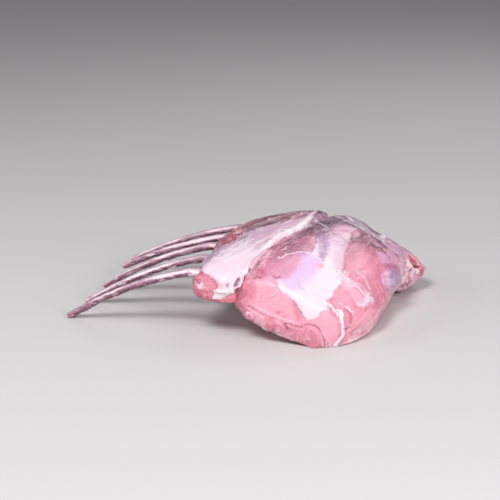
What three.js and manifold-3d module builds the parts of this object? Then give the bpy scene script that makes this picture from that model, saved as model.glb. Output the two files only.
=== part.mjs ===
// Rack of veal: a boned loin with five scraped rib bones, lying on its underside.
// Millimetres, +Z up. The rack's length runs along Y, its chine side faces +X, and the
// rib bones reach towards -X and curve down to the surface that it lies on.
// The muscles are laid out by three distances: "across" from the chine edge towards the
// rib tips, "station" along the rack from its near end, and height.

import * as THREE from 'three';
import { mergeVertices } from 'three/addons/utils/BufferGeometryUtils.js';
import Module from 'manifold-3d';

const wasm = await Module();
wasm.setup();

const { clamp, degToRad, lerp } = THREE.MathUtils;

// Whole rack
const ribLean = degToRad(9.5); // the ribs lean this far off square to the length
const touchGap = 0.3; // clearance kept between pieces that touch
const farAway = 400; // beyond the rack on every side

// Arched hollow of the rib cage under the rack, which rises from one place across to another.
// The flat edge that the rack rests on, on its chine side, widens towards the far end.
const hollow = {
  from: [10, 12, 18, 28, 30], to: 140, height: 37, stations: [-50, 290], steps: 7, riseSteps: 12,
};

// Each muscle is a closed lobe with superellipse sections. The values in a list are spread
// evenly along its length, from the near end to the far end, and tilt lifts its rib side.
const loin = {
  near: -2, far: 233, rings: 20, sides: 34, nearBluntness: 6, farBluntness: 4, squareness: 3,
  nearSlope: 0.22,
  across: [52, 51, 50, 54, 58],
  height: [31, 34, 37, 38, 37],
  halfWidth: [68, 67, 61, 55, 48],
  halfHeight: [31, 36, 40, 42, 41],
  tilt: [21, 22, 23, 27, 32],
};
const chineTip = {
  near: 150, far: 242, rings: 9, sides: 16, nearBluntness: 2, farBluntness: 2.6, squareness: 2.2,
  nearSlope: 0,
  across: [26, 22, 18, 16, 18],
  height: [28, 28, 28, 28, 25],
  halfWidth: [16, 20, 23, 23, 20],
  halfHeight: [18, 21, 24, 22, 19],
  tilt: [0, 0, 0, 0, 0],
};
const flap = {
  near: -6, far: 230, rings: 18, sides: 26, nearBluntness: 6, farBluntness: 4, squareness: 2.9,
  nearSlope: 0,
  across: [125, 124, 132, 139, 142],
  height: [50, 54, 58, 59, 59],
  halfWidth: [31, 36, 50, 54, 54],
  halfHeight: [19, 21, 23, 24, 23],
  tilt: [2, -2, -8, -12, -14],
};
const lining = {
  near: -6, far: 230, rings: 12, sides: 16, nearBluntness: 7, farBluntness: 4, squareness: 2.2,
  nearSlope: 0,
  across: [62, 62, 64, 66, 66],
  height: [16, 15, 14, 13, 12],
  halfWidth: [41, 45, 45, 44, 44],
  halfHeight: [13, 12, 12, 11, 10],
  tilt: [16, 18, 18, 18, 18],
};
const smallMuscle = {
  near: -8, far: 150, rings: 10, sides: 14, nearBluntness: 6, farBluntness: 1.6, squareness: 2.2,
  nearSlope: 0,
  across: [25, 26, 27, 28, 28],
  height: [9, 8, 7, 6, 5],
  halfWidth: [13, 12, 12, 10, 8],
  halfHeight: [12, 11, 10, 8, 6],
  tilt: [0, 0, 0, 0, 0],
};

// Fat seam that runs down through the loin from end to end, between the eye and the chine
// muscle. It stands upright in the middle, and curls towards the ribs above and below.
const seam = {
  thickness: 3, stations: [-30, 260], steps: 14, rise: [-8, 112], riseSteps: 12,
  across: [-5, -4, 0, 7, 12, 15], uprightFrom: 14, uprightTo: 20,
  curlAbove: [0.034, 0.015, 0.0112, 0.0102, 0.0104, 0.011], curlBelow: 0.045,
};

// Fat over the flap, inlaid in its top, between a rib-side and a loin-side edge in plan
const fat = {
  depth: 6, proud: 1.5, lowest: 48, stations: [-20, 218], steps: 10,
  ribEdge: [128, 151, 147, 140, 117, 106], loinEdge: 70,
};

// Rib bones, from the near end to the far end: place along the rack, where each leaves the
// meat and how far it reaches from there. Each drops by fall * x + curl * x * x at a distance x.
const ribs = [
  { station: 9, leaves: 153, reach: 137, fall: 0.22, curl: 0.0016 },
  { station: 62, leaves: 166, reach: 134, fall: 0.24, curl: 0.00158 },
  { station: 108, leaves: 181, reach: 126, fall: 0.23, curl: 0.00172 },
  { station: 148, leaves: 184, reach: 123, fall: 0.21, curl: 0.00125 },
  { station: 187, leaves: 192, reach: 126, fall: 0.22, curl: 0.00125 },
];
const bone = {
  height: 62, inside: 26, width: 13.5, thickness: 7, tipWidth: 11, tipThickness: 6,
  rings: 11, sides: 10, squareness: 2.6,
};

// Cartilage that shows in the chine side, as a flat lens set into the muscle
const cartilage = {
  station: 116, across: -8, height: 38, length: 46, rise: 20, depth: 8, turn: degToRad(80),
  aroundSteps: 14, upSteps: 8,
};

// Surface of each tissue: colour, roughness
const tissues = {
  paleMeat: [0xe8a3b8, 0.38],
  deepMeat: [0xd28c9f, 0.4],
  darkMeat: [0xb8657c, 0.4],
  fat: [0xf2dfe2, 0.42],
  cartilage: [0xcdb9d3, 0.3],
  bone: [0xd8b7c4, 0.35],
};

// Mapping from (across, station, height) to the part's axes
function placed(across, station, height) {
  return new THREE.Vector3(
    -across * Math.cos(ribLean),
    station - across * Math.sin(ribLean),
    height,
  );
}

// Smooth value at u (0 to 1) along a list of evenly spread values
function along(values, u) {
  const points = values.map((value, index) => new THREE.Vector2(index, value));
  return new THREE.SplineCurve(points).getPoint(clamp(u, 0, 1)).y;
}

function signedPower(value, power) {
  return Math.sign(value) * Math.abs(value) ** power;
}

// A point on a superellipse with these half sizes, at a share of the way round
function superellipse(halfWidth, halfHeight, squareness, share) {
  const turn = 2 * Math.PI * share;
  return {
    out: halfWidth * signedPower(Math.cos(turn), 2 / squareness),
    up: halfHeight * signedPower(Math.sin(turn), 2 / squareness),
  };
}

// A three.js geometry as a solid that can be cut and joined
function solid(geometry) {
  const bare = geometry.clone();
  bare.deleteAttribute('normal');
  bare.deleteAttribute('uv');
  const merged = mergeVertices(bare);
  return new wasm.Manifold(new wasm.Mesh({
    numProp: 3,
    vertProperties: merged.attributes.position.array,
    triVerts: new Uint32Array(merged.index.array),
  }));
}

// The largest separate piece of a solid, without any slivers that a cut left
function largestPiece(body) {
  return body.decompose().reduce((best, piece) => (piece.volume() > best.volume() ? piece : best));
}

// A named mesh of one tissue
function piece(name, body, [color, roughness]) {
  const cut = largestPiece(body).getMesh();
  const geometry = new THREE.BufferGeometry();
  geometry.setAttribute('position', new THREE.BufferAttribute(cut.vertProperties, 3));
  geometry.setIndex(new THREE.BufferAttribute(cut.triVerts, 1));
  geometry.computeVertexNormals();
  const mesh = new THREE.Mesh(geometry, new THREE.MeshStandardMaterial({ color, roughness, metalness: 0 }));
  mesh.name = name;
  return mesh;
}

// A closed body from rings of points, with a point at each end
function bodyFromRings(first, rings, last) {
  const sides = rings[0].length;
  const points = [first, ...rings.flat(), last];
  const lastRing = rings.length - 1;
  const triangles = [];
  const at = (ring, side) => 1 + ring * sides + (side % sides);
  for (let side = 0; side < sides; side += 1) {
    triangles.push(0, at(0, side + 1), at(0, side));
    triangles.push(points.length - 1, at(lastRing, side), at(lastRing, side + 1));
    for (let ring = 0; ring < lastRing; ring += 1) {
      triangles.push(at(ring, side), at(ring, side + 1), at(ring + 1, side + 1));
      triangles.push(at(ring, side), at(ring + 1, side + 1), at(ring + 1, side));
    }
  }
  return solid(new THREE.BufferGeometry().setFromPoints(points).setIndex(triangles));
}

function centreOf(ring) {
  const sum = new THREE.Vector3();
  ring.forEach((point) => sum.add(point));
  return sum.divideScalar(ring.length);
}

// A body with flat ends from rings of points
function bodyBetween(rings) {
  return bodyFromRings(centreOf(rings[0]), rings, centreOf(rings[rings.length - 1]));
}

// A muscle: a long rounded lobe, thicker by "grow" on every side
function lobe(shape, grow = 0) {
  const middle = (shape.near + shape.far) / 2;
  const reach = (shape.far - shape.near) / 2 + grow;
  const rings = [];
  for (let i = 1; i < shape.rings; i += 1) {
    const turn = Math.PI * i / shape.rings;
    const bluntness = turn < Math.PI / 2 ? shape.nearBluntness : shape.farBluntness;
    const offset = -signedPower(Math.cos(turn), 2 / bluntness);
    const taper = signedPower(Math.sin(turn), 2 / bluntness);
    rings.push(lobeRing(shape, (1 + offset) / 2, middle + offset * reach, taper, grow));
  }
  const first = placed(along(shape.across, 0), middle - reach, along(shape.height, 0));
  const last = placed(along(shape.across, 1), middle + reach, along(shape.height, 1));
  return bodyFromRings(first, rings, last);
}

// One ring of a lobe. The near end slopes back as it rises, by nearSlope.
function lobeRing(shape, u, station, taper, grow) {
  const halfWidth = (along(shape.halfWidth, u) + grow) * taper;
  const halfHeight = (along(shape.halfHeight, u) + grow) * taper;
  const tilt = degToRad(along(shape.tilt, u));
  const slope = shape.nearSlope * (1 - u) ** 6;
  const ring = [];
  for (let side = 0; side < shape.sides; side += 1) {
    const { out, up } = superellipse(halfWidth, halfHeight, shape.squareness, side / shape.sides);
    const rise = out * Math.sin(tilt) + up * Math.cos(tilt);
    ring.push(placed(
      along(shape.across, u) + out * Math.cos(tilt) - up * Math.sin(tilt),
      station + slope * rise,
      along(shape.height, u) + rise,
    ));
  }
  return ring;
}

// Everything below a line of (across, height) points, which can change along the rack
function below(lineAt, stations, steps) {
  const rings = [];
  for (let i = 0; i <= steps; i += 1) {
    const station = lerp(...stations, i / steps);
    const line = [[farAway, -farAway], ...lineAt(i / steps), [-farAway, -farAway]];
    rings.push(line.map(([across, height]) => placed(across, station, height)));
  }
  return bodyBetween(rings);
}

function belowGround() {
  return below(() => [[farAway, 0], [-farAway, 0]], [-farAway, farAway], 1);
}

// The ground and the arched hollow of the rib cage
function belowRack() {
  return below(hollowLine, hollow.stations, hollow.steps);
}

function hollowLine(u) {
  const line = [[farAway, hollow.height]];
  for (let i = hollow.riseSteps; i >= 0; i -= 1) {
    const share = i / hollow.riseSteps;
    const height = hollow.height * (1 - Math.cos(Math.PI * share)) / 2;
    line.push([lerp(along(hollow.from, u), hollow.to, share), height]);
  }
  line.push([-farAway, 0]);
  return line;
}

// The space between two distances from the seam's middle surface, positive towards the ribs
function besideSeam(from, to) {
  const rings = [];
  for (let i = 0; i <= seam.steps; i += 1) {
    const u = i / seam.steps;
    const ribSide = [];
    const chineSide = [];
    for (let k = 0; k <= seam.riseSteps; k += 1) {
      ribSide.push(seamPoint(u, k / seam.riseSteps, to));
      chineSide.unshift(seamPoint(u, k / seam.riseSteps, from));
    }
    rings.push([...ribSide, ...chineSide]);
  }
  return bodyBetween(rings);
}

function seamPoint(u, share, offset) {
  const station = lerp(...seam.stations, u);
  const height = lerp(...seam.rise, share);
  const above = Math.max(0, height - seam.uprightTo);
  const under = Math.max(0, seam.uprightFrom - height);
  const curl = along(seam.curlAbove, u) * above ** 2 + seam.curlBelow * under ** 2;
  return placed(along(seam.across, u) + curl + offset, station, height);
}

// A block over the flap with the plan outline of its fat
function fatPlan(grow = 0) {
  const [near, far] = fat.stations;
  const rings = [];
  for (let i = 0; i <= fat.steps; i += 1) {
    const u = i / fat.steps;
    const station = lerp(near - grow, far + grow, u);
    const ribSide = along(fat.ribEdge, u) + grow;
    const loinSide = fat.loinEdge - grow;
    rings.push([
      placed(ribSide, station, fat.lowest - grow),
      placed(ribSide, station, farAway),
      placed(loinSide, station, farAway),
      placed(loinSide, station, fat.lowest - grow),
    ]);
  }
  return bodyBetween(rings);
}

// One rib bone, from inside the meat to its tip, thicker by "grow" on every side
function ribBone(rib, grow = 0) {
  const rings = [];
  for (let i = 0; i <= bone.rings; i += 1) {
    rings.push(ribRing(rib, lerp(-bone.inside, rib.reach, i / bone.rings), grow));
  }
  const first = ribPoint(rib, -bone.inside - grow, 0, 0);
  const last = ribPoint(rib, rib.reach + grow, 0, 0);
  return bodyFromRings(first, rings, last);
}

function ribRing(rib, distance, grow) {
  const share = Math.max(0, distance / rib.reach);
  const halfWidth = lerp(bone.width, bone.tipWidth, share) / 2 + grow;
  const halfThickness = lerp(bone.thickness, bone.tipThickness, share) / 2 + grow;
  const ring = [];
  for (let side = 0; side < bone.sides; side += 1) {
    const { out, up } = superellipse(halfWidth, halfThickness, bone.squareness, side / bone.sides);
    ring.push(ribPoint(rib, distance, out, up));
  }
  return ring;
}

// A point beside and above the middle line of a rib, which lies level inside the meat
function ribPoint(rib, distance, beside, above) {
  const outside = Math.max(0, distance);
  const drop = rib.fall * outside + rib.curl * outside ** 2;
  const steepness = Math.atan(rib.fall + 2 * rib.curl * outside);
  return placed(
    rib.leaves + distance + above * Math.sin(steepness),
    rib.station - beside,
    bone.height - drop + above * Math.cos(steepness),
  );
}

function cartilageLens(grow = 0) {
  const lens = new THREE.SphereGeometry(1, cartilage.aroundSteps, cartilage.upSteps);
  lens.scale(cartilage.length / 2 + grow, cartilage.depth / 2 + grow, cartilage.rise / 2 + grow);
  lens.rotateZ(cartilage.turn);
  const place = placed(cartilage.across, cartilage.station, cartilage.height);
  return solid(lens.translate(place.x, place.y, place.z));
}

// The loin, cut along its seam into the eye, the seam's fat and the chine muscle
function loinPieces() {
  const half = seam.thickness / 2;
  const neighbours = belowRack().add(lobe(lining, touchGap)).add(lobe(smallMuscle, touchGap));
  const whole = lobe(loin).subtract(neighbours);
  const withoutTip = whole.subtract(lobe(chineTip, touchGap));
  const eyeMuscle = withoutTip.intersect(besideSeam(half + touchGap, farAway));
  const seamFat = withoutTip.intersect(besideSeam(-half, half));
  const chineMuscle = whole
    .intersect(besideSeam(-farAway, -half - touchGap))
    .add(lobe(chineTip).subtract(neighbours))
    .subtract(cartilageLens(touchGap));
  return [
    piece('eye_muscle', eyeMuscle, tissues.paleMeat),
    piece('seam_fat', seamFat, tissues.fat),
    piece('chine_muscle', chineMuscle, tissues.paleMeat),
    piece('cartilage', cartilageLens(), tissues.cartilage),
  ];
}

// The two muscles under the loin, which show at its near end
function undersidePieces() {
  const liningMuscle = lobe(lining).subtract(belowRack()).subtract(lobe(smallMuscle, touchGap));
  return [
    piece('lining_muscle', liningMuscle, tissues.deepMeat),
    piece('small_muscle', lobe(smallMuscle).subtract(belowRack()), tissues.darkMeat),
  ];
}

// The meat round the rib roots and the fat let into its top, with a pocket for each rib
function flapPieces() {
  const pockets = ribs.map((rib) => ribBone(rib, touchGap)).reduce((all, one) => all.add(one));
  const neighbours = lobe(loin, touchGap).add(lobe(lining, touchGap));
  const recess = fatPlan(touchGap).subtract(lobe(flap, -fat.depth - touchGap));
  const meat = lobe(flap).subtract(neighbours).subtract(recess).subtract(pockets);
  const cover = lobe(flap, fat.proud)
    .intersect(fatPlan())
    .subtract(lobe(flap, -fat.depth))
    .subtract(neighbours)
    .subtract(pockets);
  return [
    piece('rib_flap', meat, tissues.darkMeat),
    piece('fat_cover', cover, tissues.fat),
  ];
}

function ribPieces() {
  return ribs.map((rib, index) => piece(
    `rib_${index + 1}`,
    ribBone(rib).subtract(belowGround()),
    tissues.bone,
  ));
}

// The whole rack, moved so that the middle of its underside is at the origin
const rack = new THREE.Group();
rack.add(...loinPieces(), ...undersidePieces(), ...flapPieces(), ...ribPieces());
const box = new THREE.Box3().setFromObject(rack);
const centre = box.getCenter(new THREE.Vector3());
rack.position.set(-centre.x, -centre.y, -box.min.z);

export default rack;
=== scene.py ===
import itertools
import math
import bmesh
import bpy
import numpy as np
from mathutils.bvhtree import BVHTree
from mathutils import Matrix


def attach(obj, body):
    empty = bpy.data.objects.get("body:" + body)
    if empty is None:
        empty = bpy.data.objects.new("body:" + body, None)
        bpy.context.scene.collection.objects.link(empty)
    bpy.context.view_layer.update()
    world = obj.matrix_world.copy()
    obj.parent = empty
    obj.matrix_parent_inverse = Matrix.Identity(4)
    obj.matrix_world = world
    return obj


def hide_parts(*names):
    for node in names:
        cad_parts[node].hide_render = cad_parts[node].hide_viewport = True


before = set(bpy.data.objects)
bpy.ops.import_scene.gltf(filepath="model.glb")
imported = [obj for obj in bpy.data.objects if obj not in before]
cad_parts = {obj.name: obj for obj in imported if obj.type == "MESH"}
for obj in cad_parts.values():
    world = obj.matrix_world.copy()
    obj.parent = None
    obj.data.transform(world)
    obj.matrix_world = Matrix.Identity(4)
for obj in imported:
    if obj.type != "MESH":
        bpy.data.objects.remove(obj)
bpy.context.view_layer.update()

# Raw rack of veal. Shapes are worked out in millimetres and written in metres.
mm = 0.001

# "Across" runs from the chine edge towards the rib tips and "station" along the rack from
# its near end. The quarter view is a plane that faces the near corner of the chine side:
# marks on the meat are laid out in it by how far right and how far up they are.
layout = {
    "chineEdge": (150.1, -97.6),      # where across and station start, in the part's x and y
    "ribLean": math.radians(9.5),
    "quarterTurn": math.radians(27),
    "quarterRise": math.radians(16),
    "seen": (-0.05, 0.2),             # how squarely a place faces the view to be painted,
    "squarely": (0, 0.5),             # and to be raised, from where it starts to where it is full
}


def toLinear(hexColour):
    channels = [int(hexColour[i:i + 2], 16) / 255 for i in (1, 3, 5)]
    return [c / 12.92 if c <= 0.04045 else ((c + 0.055) / 1.055) ** 2.4 for c in channels] + [1]


def smooth(low, high, values):
    share = np.clip((values - low) / (high - low), 0, 1)
    return share * share * (3 - 2 * share)


# The noise picks one of these ways at each corner of its grid, by stirring the corner's place
wayCount = 256
randomWays = np.random.default_rng(7).normal(size=(wayCount, 3))
randomWays /= np.linalg.norm(randomWays, axis=1)[:, None]
axisStirs = (73856093, 19349663, 83492791)
seedStir = 2654435
noiseGain = 1.7
layerGain = 1.5
layerSeedStep = 11


# Smooth noise from about -1 to 1, with bumps of this size in mm
def noise(points, size, seed):
    cell = np.floor(points / size).astype(np.int64)
    part = points / size - cell
    fade = part ** 3 * (part * (part * 6 - 15) + 10)
    total = np.zeros(len(points))
    for corner in itertools.product((0, 1), repeat=3):
        spot = cell + corner
        pick = seed * seedStir
        for axis, stir in enumerate(axisStirs):
            pick = pick ^ (spot[:, axis] * stir)
        weight = np.prod(np.where(corner, fade, 1 - fade), axis=1)
        total += weight * np.einsum("ij,ij->i", randomWays[pick % wayCount], part - corner)
    return noiseGain * total


# Noise with finer noise on top, each layer half the size and rise of the one before
def layers(points, size, seed, count=3):
    steps = range(count)
    return sum(noise(points, size / 2 ** i, seed + layerSeedStep * i) / 2 ** i for i in steps) / layerGain


# Points squeezed along one way, so that noise on them runs in long streaks that way
def streaked(points, way, squeeze):
    way = np.array(way, float)
    way /= np.linalg.norm(way)
    return points - np.outer(points @ way, way) * (1 - 1 / squeeze)


# A smooth curve through a few points
def curveThrough(points, closed, steps=6):
    points = np.array(points, float)
    count = len(points)
    made = []
    for i in range(count if closed else count - 1):
        around = [(i + k) % count if closed else min(max(i + k, 0), count - 1) for k in (-1, 0, 1, 2)]
        a, b, c, d = points[around]
        for t in np.arange(steps) / steps:
            made.append(b + 0.5 * t * (c - a + t * (2 * a - 5 * b + 4 * c - d + t * (3 * (b - c) + d - a))))
    if not closed:
        made.append(points[-1])
    return np.array(made)


def distanceTo(curve, spots, closed=False):
    ends = np.roll(curve, -1, axis=0) if closed else curve[1:]
    best = np.full(len(spots), 1e9)
    for a, b in zip(curve, ends):
        run = b - a
        share = np.clip((spots - a) @ run / max(run @ run, 1e-9), 0, 1)
        best = np.minimum(best, np.linalg.norm(spots - a - np.outer(share, run), axis=1))
    return best


# How far inside a closed outline each spot is, negative outside
def depthInside(curve, spots):
    inside = np.zeros(len(spots), bool)
    for a, b in zip(curve, np.roll(curve, -1, axis=0)):
        if a[1] != b[1]:
            crossing = a[0] + (spots[:, 1] - a[1]) * (b[0] - a[0]) / (b[1] - a[1])
            inside ^= ((a[1] > spots[:, 1]) != (b[1] > spots[:, 1])) & (spots[:, 0] < crossing)
    return np.where(inside, 1, -1) * distanceTo(curve, spots, True)


# The chosen CAD solids, joined in one mesh and swollen a little
def cadSolids(nodes, swell):
    weld = 1e-6
    shape = bmesh.new()
    for node in nodes:
        part = bmesh.new()
        part.from_mesh(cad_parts[node].data)
        bmesh.ops.remove_doubles(part, verts=part.verts, dist=weld)
        part.normal_update()
        for vertex in part.verts:
            vertex.co += vertex.normal * swell * mm
        solid = bpy.data.meshes.new("solid")
        part.to_mesh(solid)
        part.free()
        shape.from_mesh(solid)
        bpy.data.meshes.remove(solid)
    return shape


# Egg-shaped lumps, each with its place (across, station, height) and its three half sizes
def lumpSolids(lumps):
    shape = bmesh.new()
    for place, halfSizes in lumps:
        lump = bmesh.ops.create_icosphere(shape, subdivisions=2, radius=1)
        middle = partPoint(*place)
        for vertex in lump["verts"]:
            vertex.co = [(m + c * h) * mm for m, c, h in zip(middle, vertex.co, halfSizes)]
    return shape


def partPoint(across, station, height):
    lean = layout["ribLean"]
    return (layout["chineEdge"][0] - across * math.cos(lean),
            layout["chineEdge"][1] + station - across * math.sin(lean), height)


growth = {"quickVoxel": 1.6, "softFactor": 0.5, "speckPoints": 40}


def soften(piece, name, rounds, group=""):
    soft = piece.modifiers.new(name, "SMOOTH")
    soft.factor = growth["softFactor"]
    soft.iterations = rounds
    soft.vertex_group = group
    return applyModifiers(piece)


# Grows one fine closed skin over solids, and softens it, with more passes where "rounder" says
def grow(name, shape, voxel, passes, rounder=None, rounds=0):
    mesh = bpy.data.meshes.new(name)
    shape.to_mesh(mesh)
    shape.free()
    piece = bpy.data.objects.new(name, mesh)
    bpy.context.scene.collection.objects.link(piece)
    skin = piece.modifiers.new("skin", "REMESH")
    skin.mode = "VOXEL"
    skin.voxel_size = voxel * mm * 1
    finished = soften(piece, "soft", passes)
    dropSpecks(finished, growth["speckPoints"])
    if rounder:
        group = piece.vertex_groups.new(name="rounder")
        for index, weight in enumerate(rounder(piece)):
            if weight > 0:
                group.add([index], weight, "REPLACE")
        finished = soften(piece, "rounder", rounds, "rounder")
        piece.vertex_groups.clear()
    finished.name = name
    finished.polygons.foreach_set("use_smooth", np.ones(len(finished.polygons), bool))
    print(f"  {name}: {2 * len(finished.polygons)} triangles")
    return piece


# Removes specks that the remesh leaves apart from the skin itself
def dropSpecks(mesh, fewest):
    shape = bmesh.new()
    shape.from_mesh(mesh)
    left = set(shape.verts)
    while left:
        island = [left.pop()]
        for vertex in island:
            for edge in vertex.link_edges:
                other = edge.other_vert(vertex)
                if other in left:
                    left.remove(other)
                    island.append(other)
        if len(island) < fewest:
            bmesh.ops.delete(shape, geom=island, context="VERTS")
    shape.to_mesh(mesh)
    shape.free()


def applyModifiers(piece):
    before = piece.data
    seen = piece.evaluated_get(bpy.context.evaluated_depsgraph_get())
    finished = bpy.data.meshes.new_from_object(seen)
    piece.modifiers.clear()
    piece.data = finished
    bpy.data.meshes.remove(before)
    return finished


# What the sculpting and painting of a piece work from, in mm
def study(piece, hexColour, strand=0):
    mesh = piece.data
    points = np.empty(len(mesh.vertices) * 3, np.float32)
    mesh.vertices.foreach_get("co", points)
    points = points.reshape(-1, 3).astype(float) / mm
    normals = np.empty(len(mesh.vertices) * 3, np.float32)
    mesh.vertex_normals.foreach_get("vector", normals)
    normals = normals.reshape(-1, 3).astype(float)
    turn, rise = layout["quarterTurn"], layout["quarterRise"]
    right = (math.cos(turn), math.sin(turn), 0)
    up = (-math.sin(turn) * math.sin(rise), math.cos(turn) * math.sin(rise), math.cos(rise))
    x = points[:, 0] - layout["chineEdge"][0]
    y = points[:, 1] - layout["chineEdge"][1]
    return {
        "piece": piece,
        "points": points,
        "normals": normals,
        "across": -x / math.cos(layout["ribLean"]),
        "station": y - x * math.tan(layout["ribLean"]),
        "height": points[:, 2],
        "quarter": np.column_stack([points @ right, points @ up]),
        "right": np.array(right),
        "up": np.array(up),
        "faces": smooth(*layout["seen"], normals @ np.cross(right, up)),
        "toward": smooth(*layout["squarely"], normals @ np.cross(right, up)),
        "relief": np.zeros(len(points)),
        "colour": np.tile(toLinear(hexColour)[:3], (len(points), 1)),
        "film": np.zeros(len(points)),
        "web": np.zeros(len(points)),
        "strand": np.full(len(points), strand),
    }


# Grows a piece over its CAD solids by its own values, ready to be sculpted and painted
def begin(name, nodes, shape, rounder=None):
    solids = cadSolids(nodes, shape["swell"])
    piece = grow(name, solids, shape["voxel"], shape["soften"], rounder, shape.get("rounds", 0))
    return study(piece, shape["base"], shape["strand"])


draping = {"facing": (0.1, 0.7), "fadeIn": (0, 0.4), "tuck": 0.4}


# Moves the outward side of a piece so that it stands this far above the skin of another,
# wherever it is no further than this from it. Where it turns away, it is tucked under.
def drape(skin, ground, rise, facing, within):
    corners = [v.co for v in ground.data.vertices]
    tree = BVHTree.FromPolygons(corners, [p.vertices for p in ground.data.polygons])
    for index, point in enumerate(skin["points"]):
        spot, way, face, gap = tree.find_nearest(point * mm)
        outward = float(smooth(*draping["facing"], skin["normals"][index] @ way)) * facing[index]
        if gap < within[index] * mm and outward > 0:
            stands = (point - np.array(spot) / mm) @ way
            wanted = rise[index] * outward - draping["tuck"] * (1 - outward)
            skin["points"][index] += np.array(way) * (wanted - stands) * smooth(*draping["fadeIn"], outward)


# Lays one colour over the skin, or over the points given, by an amount from 0 to 1 at each
def lay(skin, hexColour, amount, where=slice(None)):
    colour = np.array(toLinear(hexColour)[:3])
    skin["colour"][where] += (colour - skin["colour"][where]) * amount[:, None]


def noisePoints(skin, streak):
    return streaked(skin["points"], *streak) if streak else skin["points"]


# Raises bumps over the whole piece. Each kind has its rise and size in mm, its seed and its
# number of layers, and those that run in streaks end with the way and how far it is squeezed
def raiseBumps(skin, bumps):
    for rise, size, seed, count, *streak in bumps:
        skin["relief"] += rise * layers(noisePoints(skin, streak), size, seed, count)


# Lays colours in blotches. Each has its most, where in the noise it starts and is full, its
# size in mm and its seed, and a streaked one ends like a streaked bump
def layBlotches(skin, blotches):
    for hexColour, most, low, high, size, seed, *streak in blotches:
        lay(skin, hexColour, most * smooth(low, high, layers(noisePoints(skin, streak), size, seed)))


# Colours the underside, and says how far each place belongs to it. On the loin and the lining this
# darkening is painted shade; on the flap it is a filmy grey-lilac tint
def layUnderShadeAndTint(skin, hexColour, most, low, high):
    under = smooth(low, high, -skin["normals"][:, 2])
    lay(skin, hexColour, most * under)
    return under


# Marks lie in the quarter view. An area fills an outline, a stroke follows a line, and a bundle
# spreads strands between a first and a last line, in random broken stretches if it says so.
# A mark lays its colour and raises the surface, and can set how filmy, webbed and stringy it
# is. Its edge is soft over "edge" mm and wanders by "ragged" mm in waves of the size "grain".
# "Thin" breaks it up into patches of the size "patch".
plainMark = {"ragged": 1.5, "grain": 6, "amount": 1, "rise": 0, "patch": 5, "width": 0, "filled": False}
marking = {
    "strandShift": 0.35, "shortestStrand": 4, "spare": 1, "patchEdge": 0.12,
    "wanderSeeds": (31, 32), "wanderSeedStep": 7, "patchSeed": 51,
}


def area(outline, colour, edge=2, **more):
    outline = curveThrough(outline, True)
    return {**plainMark, "lines": [outline], "filled": True, "colour": colour, "edge": edge, **more}


def stroke(line, width, colour, edge=0.8, **more):
    line = curveThrough(line, False)
    return {**plainMark, "lines": [line], "width": width, "colour": colour, "edge": edge, **more}


def bundle(first, last, count, width, colour, edge=0.8, broken=False, seed=5, **more):
    first, last = np.array(first, float), np.array(last, float)
    spread = np.random.default_rng(seed)
    shift, shortest = marking["strandShift"], marking["shortestStrand"]
    lines = []
    for share in (np.arange(count) + 0.5) / count:
        share = share + spread.uniform(-shift, shift) / count
        line = curveThrough(first + (last - first) * share, False)
        start, end = np.sort(spread.integers(0, len(line) - 1, 2)) if broken else (0, len(line))
        lines.append(line[start:max(end, start + shortest) + 1])
    return {**plainMark, "lines": lines, "width": width, "colour": colour, "edge": edge, **more}


def addMarks(skin, marks):
    patchEdge = marking["patchEdge"]
    for index, mark in enumerate(marks):
        ragged, edge, width = mark["ragged"], mark["edge"], mark["width"]
        reach = ragged + edge + width + marking["spare"]
        corners = np.vstack(mark["lines"])
        close = (skin["quarter"] > corners.min(0) - reach) & (skin["quarter"] < corners.max(0) + reach)
        close = np.flatnonzero(np.all(close, 1) & (skin["faces"] > 0))
        if len(close) == 0:
            continue
        points = skin["points"][close]
        seeds = [seed + marking["wanderSeedStep"] * index for seed in marking["wanderSeeds"]]
        wander = [layers(points, mark["grain"], seed) for seed in seeds]
        spots = skin["quarter"][close] + ragged * np.column_stack(wander)
        if mark["filled"]:
            amount = smooth(-edge, edge, depthInside(mark["lines"][0], spots))
        else:
            away = np.min([distanceTo(line, spots) for line in mark["lines"]], axis=0)
            amount = 1 - smooth(max(0, width / 2 - edge), width / 2 + edge, away)
        if "thin" in mark:
            patches = layers(points, mark["patch"], marking["patchSeed"] + index)
            amount = amount * smooth(mark["thin"] - patchEdge, mark["thin"] + patchEdge, patches)
        amount = amount * skin["faces"][close] * mark["amount"]
        skin["relief"][close] += mark["rise"] * amount * skin["toward"][close]
        for kind in ("film", "web", "strand"):
            if kind in mark:
                skin[kind][close] += (mark[kind] - skin[kind][close]) * amount
        lay(skin, mark["colour"], amount, close)


# Moves the surface along its normals by the relief, stores its colour and its kinds of skin,
# and gives the piece back. Pieces that meet on the underside get lowest points a little apart,
# so none of their flat undersides coincide.
def settle(skin, lowest=0):
    mesh = skin["piece"].data
    points = skin["points"] + skin["normals"] * skin["relief"][:, None]
    points[:, 2] = np.maximum(points[:, 2], lowest)
    mesh.vertices.foreach_set("co", (points * mm).astype(np.float32).ravel())
    mesh.update()
    full = np.ones(len(points))
    kinds = np.column_stack([skin["film"], skin["web"], skin["strand"]])
    for name, values in (("skinColour", skin["colour"]), ("skinKinds", kinds)):
        stored = mesh.attributes.new(name, "FLOAT_COLOR", "POINT")
        values = np.column_stack([np.clip(values, 0, 1), full])
        stored.data.foreach_set("color", values.astype(np.float32).ravel())
    return skin["piece"]


def addNode(tree, kind, settings, inputs):
    node = tree.nodes.new("ShaderNode" + kind)
    for name, value in settings.items():
        setattr(node, name, value)
    for name, value in inputs.items():
        if isinstance(value, bpy.types.NodeSocket):
            tree.links.new(value, node.inputs[name])
        else:
            node.inputs[name].default_value = value
    return node


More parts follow.
